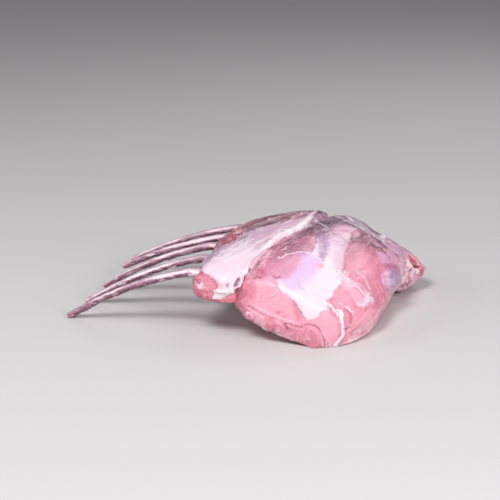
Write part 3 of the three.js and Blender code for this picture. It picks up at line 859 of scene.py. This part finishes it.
def makeLoin():
    shape = loinShape
    under = ["eye_muscle", "chine_muscle", "seam_fat", "cartilage", "lining_muscle", "small_muscle"]
    skin = begin("loin", under, shape, nearEnd)
    across, station, height, normals = (skin[key] for key in ("across", "station", "height", "normals"))
    skin["relief"] += faceSwell(skin)
    skin["relief"] -= shoulderSink(skin)
    crown = hump(across, shape["crownAcross"], shape["crownWidth"])
    skin["relief"] += shape["crownRise"] * farTop(skin) * crown
    foot = hump(station, shape["footStation"], shape["footLength"])
    foot = foot * (1 - smooth(*shape["footTop"], height))
    skin["relief"] += shape["footBulge"] * foot * smooth(*shape["footFacing"], normals[:, 0])
    taperTip(skin)
    raiseBumps(skin, shape["bumps"])
    layBlotches(skin, shape["blotches"])
    layUnderShadeAndTint(skin, *shape["under"])
    back = smooth(*shape["cutFacing"], normals[:, 1]) * smooth(*shape["cutStations"], station)
    lay(skin, shape["cutFace"], back)
    skin["strand"] *= 1 - back
    addMarks(skin, loinMarks)
    endSkin = {**skin, "quarter": np.column_stack([across, height]), "faces": back, "toward": back}
    addMarks(endSkin, farEndMarks)
    return settle(skin, shape["lowest"])


print("growing the loin")
loin = makeLoin()
finish(loin, tissue("freshVealMuscle", vealMuscle), ["eye_muscle", "chine_muscle"])


# The seam shows as a row of fatty beads on the top and the ends, and stays inside elsewhere
seamShape = {
    "swell": 0.8, "voxel": 0.9, "soften": 2, "base": "#F8E9EF", "strand": 0, "lowest": 0.15,
    "blotches": [("#F1C4D0", 0.6, 0.1, 0.5, 7, 23)],
    "rise": 0.8, "bead": 0.8, "beadSize": 4, "beadSeed": 25, "shoulderShare": 1.4,
    "hiddenHeights": (34, 42), "hiddenDepth": 1.4, "edgeOn": (0.6, 0.85), "within": 6, "hiddenWithin": 8,
}


def makeSeam():
    shape = seamShape
    skin = begin("seamFat", ["seam_fat"], shape)
    layBlotches(skin, shape["blotches"])
    skin["points"][:, 2] -= shape["shoulderShare"] * shoulderSink(skin)
    shown = 1 - smooth(*shape["hiddenHeights"], skin["height"])
    beads = shape["rise"] + shape["bead"] * layers(skin["points"], shape["beadSize"], shape["beadSeed"])
    sideways = np.abs(skin["normals"] @ (math.cos(layout["ribLean"]), math.sin(layout["ribLean"]), 0))
    facing = np.maximum(1 - smooth(*shape["edgeOn"], sideways), 1 - shown)
    rise = shown * beads - (1 - shown) * shape["hiddenDepth"]
    drape(skin, loin, rise, facing, shape["within"] + shape["hiddenWithin"] * (1 - shown))
    return settle(skin, shape["lowest"])


print("growing the fat seam")
fatMaterial = tissue("coverFat", coverFat)
finish(makeSeam(), fatMaterial, ["seam_fat"])


# The thin muscle that shows as a folded lip under the cut face
liningShape = {
    "swell": 1.1, "voxel": 0.9, "soften": 8, "base": "#D9849A", "strand": 0.08, "lift": 0.3,
    "bumps": [(0.9, 13, 41, 2)],
    "blotches": [
        ("#CB7990", 0.45, -0.1, -0.5, 12, 45, (0.4, 0, 1), 3),
        ("#F2B9C8", 0.4, 0.2, 0.5, 12, 47, (0.4, 0, 1), 3),
    ],
    # painted shade: the underside darkened
    "under": ("#B0607A", 0.6, 0.1, 0.7),
}
lipMarks = [
    # three soft bulges with painted shade in the creases between them and a painted highlight along their
    # upper ridge, over a paler lower edge
    area([(12, -13), (20, -13), (29, -18), (30, -24), (25, -27), (17, -22)], "#DA7F96", rise=1.4),
    area([(30, -17), (39, -20), (43, -24), (40, -28), (33, -27), (30, -23)], "#DE859B", rise=1.4),
    area([(41, -20), (50, -22), (58, -24), (57, -28), (50, -28), (45, -25)], "#E691A5", edge=1.5, rise=1.4),
    stroke([(27, -14), (30, -19), (29, -25), (25, -28)], 2.4, "#BC6880", edge=1.6, amount=0.7, ragged=1,
        rise=-1.2),
    stroke([(40, -19), (42, -22.5), (47, -26), (52, -28), (57, -28.5), (61, -27)], 2.4, "#9A4A63", edge=1.5,
        amount=0.85, ragged=1.2, rise=-2),
    stroke([(35, -14), (42, -16), (49, -18.5), (55, -20.5), (60, -22)], 1.5, "#F6BCCA", edge=1, amount=0.8,
        ragged=1, rise=0.8),
    # painted shade over the lower left of the lip
    area([(-10, 2), (-2, 0), (8, -8), (18, -16), (26, -22), (34, -27), (30, -32), (16, -26), (2, -16),
        (-8, -6)], "#A85670", edge=4, amount=0.6),
    area([(28, -28), (38, -27), (46, -29), (60, -31), (62, -38), (50, -35), (38, -32)], "#DDA0B4", edge=1.5,
        film=0.6, strand=0.1),
    # folds with painted shade in their creases and painted highlights on their ridges
    bundle([(2, -1), (8, -6), (16, -12), (22, -18)], [(0, -7), (5, -12), (12, -19), (18, -24)], 4, 0.9,
        "#C0708A", seed=6, amount=0.8, ragged=1, rise=-0.7),
    bundle([(3, 0), (9, -5), (17, -11), (23, -17)], [(1, -6), (6, -11), (13, -18), (19, -23)], 4, 0.9,
        "#F5C0CD", seed=6, amount=0.7, ragged=1, rise=0.5),
    area([(31, -24), (35, -23), (35, -27), (31, -28)], "#D9B9CB", edge=1.5, thin=0, patch=3),
    stroke([(-4, -2), (3, -8), (13, -18), (23, -25), (33, -30), (46, -34), (58, -40), (70, -43)], 2,
        "#EACFDA", edge=1, thin=0.15, rise=0.4, film=0.6),
]
# The small muscle stands out on the cut face, and further back it merges into the loin
smallShape = {
    "swell": 1.6, "voxel": 0.9, "soften": 8, "base": "#D9869C", "strand": 0.05, "lowest": 0.3,
    "lift": 0.6, "bumps": [(0.4, 9, 43, 2)],
    "mergeRight": (54, 70), "mergeWander": 2, "mergeSize": 8, "mergeSeed": 44, "mergeDepth": 4.5,
    "middle": (62, -36), "spread": (0.2, 0.24),
}
smallMarks = [
    area([(55, -23), (62, -21), (68, -22), (74, -28), (78, -36), (77, -44), (64, -43), (54, -36)],
        "#D9869C", film=0.6),
    area([(58, -27), (67, -27), (72, -33), (68, -40), (59, -36)], "#CB7D95", edge=5, amount=0.5),
    area([(64, -22), (70, -23), (75, -29), (78, -37), (74, -36), (70, -28)], "#E79DB0", amount=0.7),
]


def makeLining():
    shape = liningShape
    skin = begin("liningMuscle", ["lining_muscle"], shape)
    skin["relief"] += faceSwell(skin) + shape["lift"]
    raiseBumps(skin, shape["bumps"])
    layBlotches(skin, shape["blotches"])
    layUnderShadeAndTint(skin, *shape["under"])
    addMarks(skin, lipMarks)
    return settle(skin)


def makeSmallMuscle():
    shape = smallShape
    skin = begin("smallMuscle", ["small_muscle"], shape)
    wander = shape["mergeWander"] * layers(skin["points"], shape["mergeSize"], shape["mergeSeed"])
    merged = 1 - smooth(*shape["mergeRight"], skin["quarter"][:, 0] + wander)
    spread = (skin["quarter"] - shape["middle"]) * shape["spread"] * (1 - merged[:, None])
    skin["points"] += np.outer(spread[:, 0], skin["right"]) + np.outer(spread[:, 1], skin["up"])
    skin["quarter"] += spread
    skin["relief"] += faceSwell(skin) + shape["lift"]
    raiseBumps(skin, shape["bumps"])
    skin["relief"] -= shape["mergeDepth"] * merged
    addMarks(skin, smallMarks)
    return settle(skin, shape["lowest"])


print("growing the muscles of the underside")
lip = tissue("liningMeat", vealMuscle)
finish(makeLining(), lip, ["lining_muscle"])
finish(makeSmallMuscle(), lip, ["small_muscle"])


flapShape = {
    "swell": 0.3, "voxel": 1.1, "soften": 14, "base": "#C06F86", "strand": 0.35, "sink": 0.8,
    "bumps": [(1, 16, 51, 3), (0.5, 6, 52, 3, (0.3, 1, 0), 4)],
    "blotches": [("#9A4C63", 1, -0.1, 0.5, 18, 53), ("#E8C3D0", 0.7, 0.25, 0.5, 8, 55, (1, 0.2, 0), 4)],
    "under": ("#C59BB0", 0.8, 0.3, 0.7), "underFilm": 0.6,
}
flapMarks = [
    area([(-58, 16), (-54, 31), (-40, 34), (-30, 28), (-25, 18), (-28, 8), (-8, 10), (-4, 0), (-24, -4),
        (-48, 2)], "#D0758C", strand=0.08),
    area([(-46, 26), (-38, 28), (-31, 22), (-28, 14), (-33, 8), (-42, 8), (-42, 18)], "#EC97AB", edge=3),
    area([(-54, 24), (-50, 29), (-44, 28), (-48, 22)], "#C05F78", edge=1.5, thin=0, patch=4),
    area([(-50, 10), (-44, 12), (-34, 8), (-40, 4), (-48, 5)], "#B65B74", thin=0),
    area([(-27, 14), (-31, 10), (-31, 5), (-26, 4.5), (-19, 6.5), (-13, 10.5), (-9, 14), (-16, 15)],
        "#FDEFF3", edge=1.2, ragged=1.8, rise=1.4, film=0.4),
    # the scrap's own salmon red, made lighter as painted light against the shade of its downward face
    area([(-26, 2.5), (-18, 5.5), (-12.5, 10), (-8.5, 9), (-7, 3), (-8, -4), (-14, -4), (-20, -1)],
        "#FA8A9E", edge=1, grain=4, rise=0.9),
    stroke([(-20, 3), (-16, 4.5), (-12, 5.5)], 1, "#C0506A", edge=1, amount=0.5, ragged=1, rise=-0.4),
    stroke([(-57, 20), (-55, 12), (-49, 5), (-42, 2), (-30, 0), (-18, -4)], 3, "#F0DCE4", thin=0.05,
        patch=4, rise=0.5),
    # painted shade in the gap between the lobe and the cut face
    stroke([(-4, 24), (-7, 14), (-6, 4), (-3, -3)], 3, "#94334E", edge=1.5),
    area([(-47, 16), (-45, 20), (-43, 22), (-41, 20), (-41, 16), (-43, 14)], "#F6E3EC", edge=0.6, ragged=2,
        grain=3, thin=-0.2, patch=2.5, rise=0.5),
    stroke([(-50, 22), (-48, 19), (-44, 17)], 1, "#F3C9D4", rise=0.3),
    area([(-56, 30), (-51, 30.5), (-48, 29), (-53, 28)], "#F8EBF1", edge=0.6, rise=0.6),
    # far rib side: dark meat under grey membrane streaks
    area([(-38, 44), (-20, 62), (6, 84), (40, 96), (80, 104), (82, 92), (60, 86), (40, 80), (14, 74),
        (-4, 66), (-16, 56)], "#8A4058", edge=3, ragged=3, strand=0.45),
    area([(64, 82), (68, 100), (84, 106), (98, 98), (96, 82), (80, 78)], "#58303F", edge=4, ragged=3,
        strand=0.3),
    area([(34, 87), (44, 92), (58, 94), (62, 89), (46, 85)], "#B65A6C"),
    area([(-18, 66), (-12, 76), (-3, 77), (-3, 69), (-10, 63)], "#9E3D57", edge=1.5),
    area([(36, 82), (46, 86), (56, 89), (50, 85), (40, 80)], "#EADCE6", edge=1, rise=0.5),
    area([(-2, 72), (6, 80), (14, 84), (18, 80), (8, 74)], "#E7DAE4", edge=1.2, thin=-0.1, patch=4,
        rise=0.4),
    bundle([(-30, 60), (0, 82), (34, 95), (72, 102)], [(-20, 54), (10, 72), (40, 80), (74, 90)], 9, 1.5,
        "#D3BACB", broken=True, seed=15, amount=0.9, rise=0.8),
    bundle([(-30, 58), (0, 80), (34, 94), (72, 101)], [(-20, 52), (10, 70), (40, 79), (74, 89)], 8, 1.2,
        "#5E1F33", broken=True, seed=16, amount=0.85, rise=-0.8),
    bundle([(-6, 68), (16, 78), (44, 84)], [(-4, 64), (18, 75), (46, 81)], 2, 1.4, "#F7EDF2", seed=19,
        amount=0.8, thin=-0.1, patch=8, rise=0.7),
]


def makeFlap():
    shape = flapShape
    skin = begin("ribFlap", ["rib_flap", "fat_cover"], shape)
    skin["relief"] -= shape["sink"]
    raiseBumps(skin, shape["bumps"])
    layBlotches(skin, shape["blotches"])
    skin["film"] += shape["underFilm"] * layUnderShadeAndTint(skin, *shape["under"])
    addMarks(skin, flapMarks)
    return settle(skin)


# The fat cover is thick inside its outline, which wanders a little, and sinks away outside it
fatShape = {
    "swell": 1.0, "voxel": 0.95, "soften": 6, "base": "#E3C8D6", "strand": 0.05,
    "wander": 2.3, "wanderSize": 4.5, "wanderSeeds": (61, 62), "topFacing": 0.05, "outside": -3,
    "rise": 0.8, "riseEdge": (0, 4), "sink": 4, "sinkEdge": (-2.5, 1),
    "bumps": [(0.9, 20, 63, 2), (0.4, 7, 64, 2, (0.3, 1, 0), 4)],
    "blotches": [("#CDACC1", 0.6, 0, 0.5, 12, 65, (0.3, 1, 0), 3)],
    "rim": "#E8B5C6", "rimAmount": 0.6, "rimWidth": 2.5,
    "outline": [
        (-42.5, 33), (-37, 30), (-32, 25), (-27.5, 20), (-26, 16), (-30, 12.5), (-31, 8.5), (-24, 6),
        (-17.5, 7.5), (-11, 10), (-9, 15), (-5, 17.5), (-2, 22.5), (-1, 27.5), (4, 31), (10, 37),
        (19, 45.5), (26, 53.5), (33, 60), (40, 66.5), (52, 71.5), (65, 75.5), (70, 84), (76, 94),
        (78, 98), (64, 91), (50, 86), (36, 82), (16, 78), (0, 72), (-15, 62.5), (-30, 55), (-37, 50),
        (-43, 44), (-44, 36),
    ],
}
fatMarks = [
    # painted shade: grey-lilac over the fat's upper edge
    area([(-40, 50), (-30, 56), (-14, 63), (4, 73), (22, 80), (44, 84), (66, 90), (66, 84), (48, 78),
        (30, 70), (14, 58), (-4, 50), (-22, 44), (-36, 42)], "#C9A5BC", edge=6, ragged=3, film=0.5),
    area([(14, 60), (28, 70), (46, 80), (64, 88), (60, 80), (40, 70), (24, 60)], "#C99DB2", edge=4,
        amount=0.7),
    area([(-38, 36), (-26, 42), (-8, 42), (0, 32), (-4, 22), (-12, 12), (-26, 8), (-26, 20), (-34, 30)],
        "#ECD3DF", edge=5, film=0.5),
    area([(-32, 42), (-24, 53), (-10, 57), (4, 63), (8, 53), (2, 44), (-12, 40)], "#F6DEEA", edge=5,
        amount=0.75, film=0.5),
    # painted shade: greyer and darker towards the left end of the upper edge
    area([(-34, 52), (-24, 59), (-8, 66), (8, 73), (8, 69), (-6, 62), (-22, 54)], "#A57F98", edge=3,
        amount=0.8, ragged=3),
    area([(-43, 44), (-37, 52), (-28, 56), (-28, 50), (-36, 42), (-42, 36)], "#9C7B9B", amount=0.9,
        strand=0.3),
    bundle([(-36, 52), (-18, 60), (4, 72)], [(-30, 42), (-10, 52), (10, 62)], 5, 1.3, "#C3A6C2", edge=1.2,
        broken=True, seed=21, amount=0.5, ragged=3, grain=12, rise=-0.3),
    bundle([(0, 71), (20, 79), (46, 85), (70, 92)], [(6, 62), (24, 70), (46, 78), (66, 87)], 5, 1.2,
        "#C9AFC4", edge=1.2, broken=True, seed=23, amount=0.4, ragged=3, grain=12, rise=-0.2),
    bundle([(-34, 50), (-14, 58), (10, 72), (40, 83)], [(-26, 36), (-4, 46), (18, 60), (44, 75)], 3, 1.4,
        "#FDF6F9", edge=1.3, broken=True, seed=22, amount=0.4, ragged=3, grain=12, rise=0.3),
    stroke([(0, 30), (6, 38), (13, 46), (20, 54), (28, 62), (36, 68), (48, 74), (60, 80), (70, 88)], 5,
        "#FBEFF2", edge=2, amount=0.95, ragged=2, grain=4, rise=1.3),
    stroke([(3, 30), (9, 38), (16, 46), (23, 53.5), (31, 61.5), (39, 68), (50, 73.5)], 2.5, "#F6CBD8",
        edge=1, ragged=2, grain=3, thin=0.05, patch=2.5, rise=0.8),
    # painted light: the lower end, where it curves down, is made whiter
    area([(-31, 15), (-28, 6), (-20, 5), (-9, 9), (-7, 15), (-18, 14)], "#FFF6FA", edge=2.5, rise=-0.4),
    area([(-10, 17), (-9, 22), (-6, 26), (-4, 24), (-6, 19)], "#6E2F49", edge=0.7, ragged=0.8, rise=-2),
    area([(-18, 17), (-17, 21), (-15, 21), (-16, 17)], "#B08EA8", edge=0.7, rise=-0.8),
    stroke([(-9, 13), (-5, 17), (-2, 22), (-1, 27)], 2, "#FFF7FA", rise=1),
]


def makeFat():
    shape = fatShape
    skin = begin("fatCover", ["fat_cover"], shape)
    wander = [layers(skin["points"], shape["wanderSize"], seed) for seed in shape["wanderSeeds"]]
    spots = skin["quarter"] + shape["wander"] * np.column_stack(wander)
    inside = depthInside(curveThrough(shape["outline"], True, 4), spots)
    inside = np.where(skin["faces"] > shape["topFacing"], inside, shape["outside"])
    raiseBumps(skin, shape["bumps"])
    rise = shape["rise"] * smooth(*shape["riseEdge"], inside)
    skin["relief"] += rise - shape["sink"] * (1 - smooth(*shape["sinkEdge"], inside))
    layBlotches(skin, shape["blotches"])
    lay(skin, shape["rim"], shape["rimAmount"] * (1 - smooth(0, shape["rimWidth"], inside)))
    addMarks(skin, fatMarks)
    return settle(skin)


print("growing the flap and its fat")
meat = tissue("ribMeat", ribMeat)
finish(makeFlap(), meat, ["rib_flap"])
finish(makeFat(), fatMaterial, ["fat_cover"])


# Rib bones are grey-lilac on top, with painted shade on the near side and darker painted shade underneath,
# and a painted highlight along the near top edge.
# Each rib's number is added to the seeds, so that no two are alike.
ribShape = {
    "swell": 0.4, "voxel": 0.75, "soften": 3, "base": "#BFA3B5", "strand": 0.35,
    "fibreWay": (1, 0.15, 0.4), "squeeze": 4,
    "lump": 0.6, "lumpSize": 8, "lumpSeed": 70, "ridge": 0.4, "ridgeSize": 4, "ridgeSeed": 80,
    "fringe": 0.9, "fringeFacing": (0.1, 0.6), "fringeSize": 6, "fringeSeed": 82,
    "wander": 0.25, "wanderSize": 12, "wanderSeed": 85,
    # painted shade on the near side and underneath, and a painted highlight along the near top edge
    "near": "#8F647C", "nearFacing": (0.3, 0.8), "under": "#581D35", "underFacing": (-0.1, 0.4),
    "crestHighlight": "#FBE3EA", "crestWay": (0, -0.62, 0.78), "crestFacing": (0.82, 0.97),
    "blood": "#A93A56", "bloodAmount": 0.7, "bloodSpan": (0.42, 0.55), "bloodSize": 8, "bloodSeed": 95,
    "scrap": "#FBF2F6", "scrapAmount": 0.8, "scrapSpan": (0.42, 0.52), "scrapSize": 7, "scrapSeed": 105,
    "tip": "#CB6680", "tipAmount": 0.7, "tipLength": (14, 4), "tipSpan": (-0.3, 0.3),
    "tipSize": 5, "tipSeed": 115,
}


def makeRib(number):
    shape = ribShape
    skin = begin(f"ribBone{number}", [f"rib_{number}"], shape)
    normals, points = skin["normals"], skin["points"]
    along = streaked(points, shape["fibreWay"], shape["squeeze"])

    def uneven(kind, places=along):
        return layers(places, shape[kind + "Size"], shape[kind + "Seed"] + number)

    skin["relief"] += shape["lump"] * uneven("lump", points)
    skin["relief"] += shape["ridge"] * uneven("ridge")
    ragged = smooth(*shape["fringeFacing"], uneven("fringe"))
    skin["relief"] += shape["fringe"] * (smooth(*shape["fringeFacing"], -normals[:, 2]) * ragged)
    wander = shape["wander"] * uneven("wander")
    # painted shade on the near side and underneath, then a painted highlight along the near top edge, which
    # is also made filmy
    lay(skin, shape["near"], smooth(*shape["nearFacing"], -normals[:, 1]))
    lay(skin, shape["under"], smooth(*shape["underFacing"], -normals[:, 2] + wander))
    crestHighlight = smooth(*shape["crestFacing"], normals @ shape["crestWay"] + wander)
    lay(skin, shape["crestHighlight"], crestHighlight)
    skin["film"] += crestHighlight
    for kind in ("blood", "scrap"):
        lay(skin, shape[kind], shape[kind + "Amount"] * smooth(*shape[kind + "Span"], uneven(kind)))
    tip = smooth(*shape["tipLength"], skin["across"].max() - skin["across"])
    spots = smooth(*shape["tipSpan"], uneven("tip", points))
    lay(skin, shape["tip"], shape["tipAmount"] * tip * spots)
    return settle(skin)


print("growing the ribs")
bone = tissue("scrapedRibBone", scrapedBone)
for ribNumber in range(1, 6):
    finish(makeRib(ribNumber), bone, [f"rib_{ribNumber}"])


# The cartilage bulges in its middle and meets the meat flush at its rim
pearlShape = {
    "swell": 0.3, "voxel": 0.8, "soften": 6, "base": "#C592B6", "strand": 0.05,
    "lift": 0.9, "lump": 0.6, "lumpSize": 9, "lumpSeed": 111, "within": 6,
    "rimFade": (0.6, 1), "rimSink": 0.3, "rimEdge": (0.85, 1), "wander": 2, "wanderSize": 8,
    # the far colour is painted shade over the right side, the close colour a painted highlight over the
    # left side
    "far": "#9882A8", "farRight": (154, 167), "farSeed": 112,
    "close": "#DFA6C5", "closeRight": (154, 146), "closeSeed": 114, "sideAmount": 0.9,
    "blotches": [("#DDB8D2", 0.4, 0, 0.5, 14, 113)],
}
pearlMarks = [
    area([(150, 30), (158, 31), (163, 26), (163, 17), (158, 11), (152, 13), (149, 22)], "#94769C",
        amount=0.75, ragged=2),
    bundle([(150, 30), (151, 22), (152, 13)], [(162, 29), (163, 21), (160, 12)], 5, 0.8, "#CDB0CE", seed=71,
        amount=0.6, ragged=1, rise=0.2),
    bundle([(143, 25), (148, 25), (154, 24)], [(145, 17), (149, 17), (155, 18)], 4, 0.9, "#F0D3E6", seed=72,
        amount=0.7, ragged=1, rise=0.2),
]


def makeCartilage():
    shape = pearlShape
    skin = begin("cartilagePearl", ["cartilage"], shape)
    every = np.ones(len(skin["points"]))
    off = skin["quarter"] - skin["quarter"].mean(0)
    rim = 0.5 * np.sqrt(((off @ np.linalg.inv(np.cov(off.T))) * off).sum(1))
    lift = shape["lift"] + shape["lump"] * layers(skin["points"], shape["lumpSize"], shape["lumpSeed"])
    lift = lift * (1 - smooth(*shape["rimFade"], rim)) - shape["rimSink"] * smooth(*shape["rimEdge"], rim)
    drape(skin, loin, lift, every, shape["within"] * every)
    # painted shade on the right side and a painted highlight on the left
    for side in ("far", "close"):
        wander = shape["wander"] * layers(skin["points"], shape["wanderSize"], shape[side + "Seed"])
        share = smooth(*shape[side + "Right"], skin["quarter"][:, 0] + wander)
        lay(skin, shape[side], shape["sideAmount"] * share)
    layBlotches(skin, shape["blotches"])
    addMarks(skin, pearlMarks)
    return settle(skin)


print("growing the cartilage")
finish(makeCartilage(), tissue("pearlCartilage", pearlCartilage), ["cartilage"])


# Shreds and crumbs left by the trimming. Each lump has its place across, along and up, then its
# half sizes in the part's x, y and z. "Uneven" is how bumpy and blotchy they are.
scrapShape = {
    "voxel": 0.8, "soften": 4, "bump": 1.3, "bumpSize": 6,
    "pale": "#F3DFE8", "paleMost": 0.7, "paleSize": 5, "dark": "#8A4A62", "darkMost": 0.8, "darkSize": 6,
    "blotchSpan": (0.1, 0.5),
}
meatShreds = {
    **scrapShape, "base": "#B4566F", "strand": 0.3, "seeds": (121, 124, 126), "uneven": 1,
    "lumps": [
        ((158, 121, 74), (9, 12, 5)), ((154, 102, 73), (9, 11, 5)), ((160, 96, 71), (8, 7, 4)),
        ((148, 72, 72), (8, 9, 4)), ((150, 84, 72), (9, 7, 4)), ((166, 135, 72), (8, 10, 4)),
    ],
}
valleyKnot = {
    **scrapShape, "base": "#9A7C92", "strand": 0.4, "seeds": (131, 134, 136), "uneven": 1,
    "lumps": [
        ((93, 160, 80), (9, 13, 6)), ((96, 176, 82), (8, 11, 6)), ((91, 146, 78), (6, 9, 5)),
        ((88, 168, 81), (6, 8, 5)), ((98, 190, 80), (9, 12, 6)),
    ],
}
fatScraps = {
    **scrapShape, "base": "#C9AFBB", "strand": 0, "seeds": (141, 144, 146), "uneven": 0.2,
    "lumps": [
        ((24, 184, 66), (3.4, 3.2, 3.6)), ((28, 182, 66), (2.6, 3, 2.4)),
        ((153, 3, 60.5), (3, 1.8, 1.6)), ((113, 175, 87), (2.2, 2.6, 1.6)),
    ],
}


def makeScraps(name, shape):
    bumpSeed, *blotchSeeds = shape["seeds"]
    scraps = grow(name, lumpSolids(shape["lumps"]), shape["voxel"], shape["soften"])
    skin = study(scraps, shape["base"], shape["strand"])
    raiseBumps(skin, [(shape["bump"] * shape["uneven"], shape["bumpSize"], bumpSeed, 3)])
    for kind, seed in zip(("pale", "dark"), blotchSeeds):
        most = shape[kind + "Most"] * shape["uneven"]
        layBlotches(skin, [(shape[kind], most, *shape["blotchSpan"], shape[kind + "Size"], seed)])
    return settle(skin)


print("growing the shreds and scraps")
finish(makeScraps("meatShreds", meatShreds), meat, [])
finish(makeScraps("valleyKnot", valleyKnot), meat, [])
finish(makeScraps("fatScraps", fatScraps), fatMaterial, [])


studio = {
    "floor": "#D2CFD0", "floorHalf": 5, "floorRough": 0.7, "world": "#ECEBEE", "worldStrength": 0.25,
    "lights": [
        # name, place, size, power, all aimed at the rack
        ("key", (0.1, -1.35, 1.6), 0.7, 26),
        ("left", (-1.3, -0.9, 0.9), 0.8, 7),
        ("right", (1.5, -0.6, 0.8), 0.8, 14),
        ("back", (0.2, 1.4, 1.4), 1.0, 6),
    ],
    "aim": (0.03, 0, 0.04),
    "camera": (0.7135, -1.3757, 0.5003), "cameraTurn": math.radians(27.23),
    "cameraRise": math.radians(16), "lens": 108, "sensor": 36,
}


def makeStudio():
    half = studio["floorHalf"]
    corners = [(-half, -half, 0), (half, -half, 0), (half, half, 0), (-half, half, 0)]
    mesh = bpy.data.meshes.new("floor")
    mesh.from_pydata(corners, [], [(0, 1, 2, 3)])
    floor = bpy.data.objects.new("floor", mesh)
    bpy.context.scene.collection.objects.link(floor)
    paper = bpy.data.materials.new("floorPaper")
    paper.use_nodes = True
    surface = paper.node_tree.nodes["Principled BSDF"]
    surface.inputs["Base Color"].default_value = toLinear(studio["floor"])
    surface.inputs["Roughness"].default_value = studio["floorRough"]
    mesh.materials.append(paper)
    world = bpy.data.worlds.new("studioWorld")
    world.use_nodes = True
    background = world.node_tree.nodes["Background"]
    background.inputs[0].default_value = toLinear(studio["world"])
    background.inputs[1].default_value = studio["worldStrength"]
    bpy.context.scene.world = world
    for name, place, size, power in studio["lights"]:
        lamp = bpy.data.lights.new(name, "AREA")
        lamp.shape = "DISK"
        lamp.size = size
        lamp.energy = power
        light = bpy.data.objects.new(name, lamp)
        light.location = place
        away = np.array(place) - np.array(studio["aim"])
        light.rotation_euler = (math.atan2(math.hypot(away[0], away[1]), away[2]), 0,
                                math.atan2(away[0], -away[1]))
        bpy.context.scene.collection.objects.link(light)
    lens = bpy.data.cameras.new("camera")
    lens.lens = studio["lens"]
    lens.sensor_width = studio["sensor"]
    camera = bpy.data.objects.new("camera", lens)
    camera.location = studio["camera"]
    camera.rotation_euler = (math.pi / 2 - studio["cameraRise"], 0, studio["cameraTurn"])
    bpy.context.scene.collection.objects.link(camera)
    bpy.context.scene.camera = camera
    bpy.context.scene.view_settings.view_transform = "Standard"


print("setting up the studio")
makeStudio()
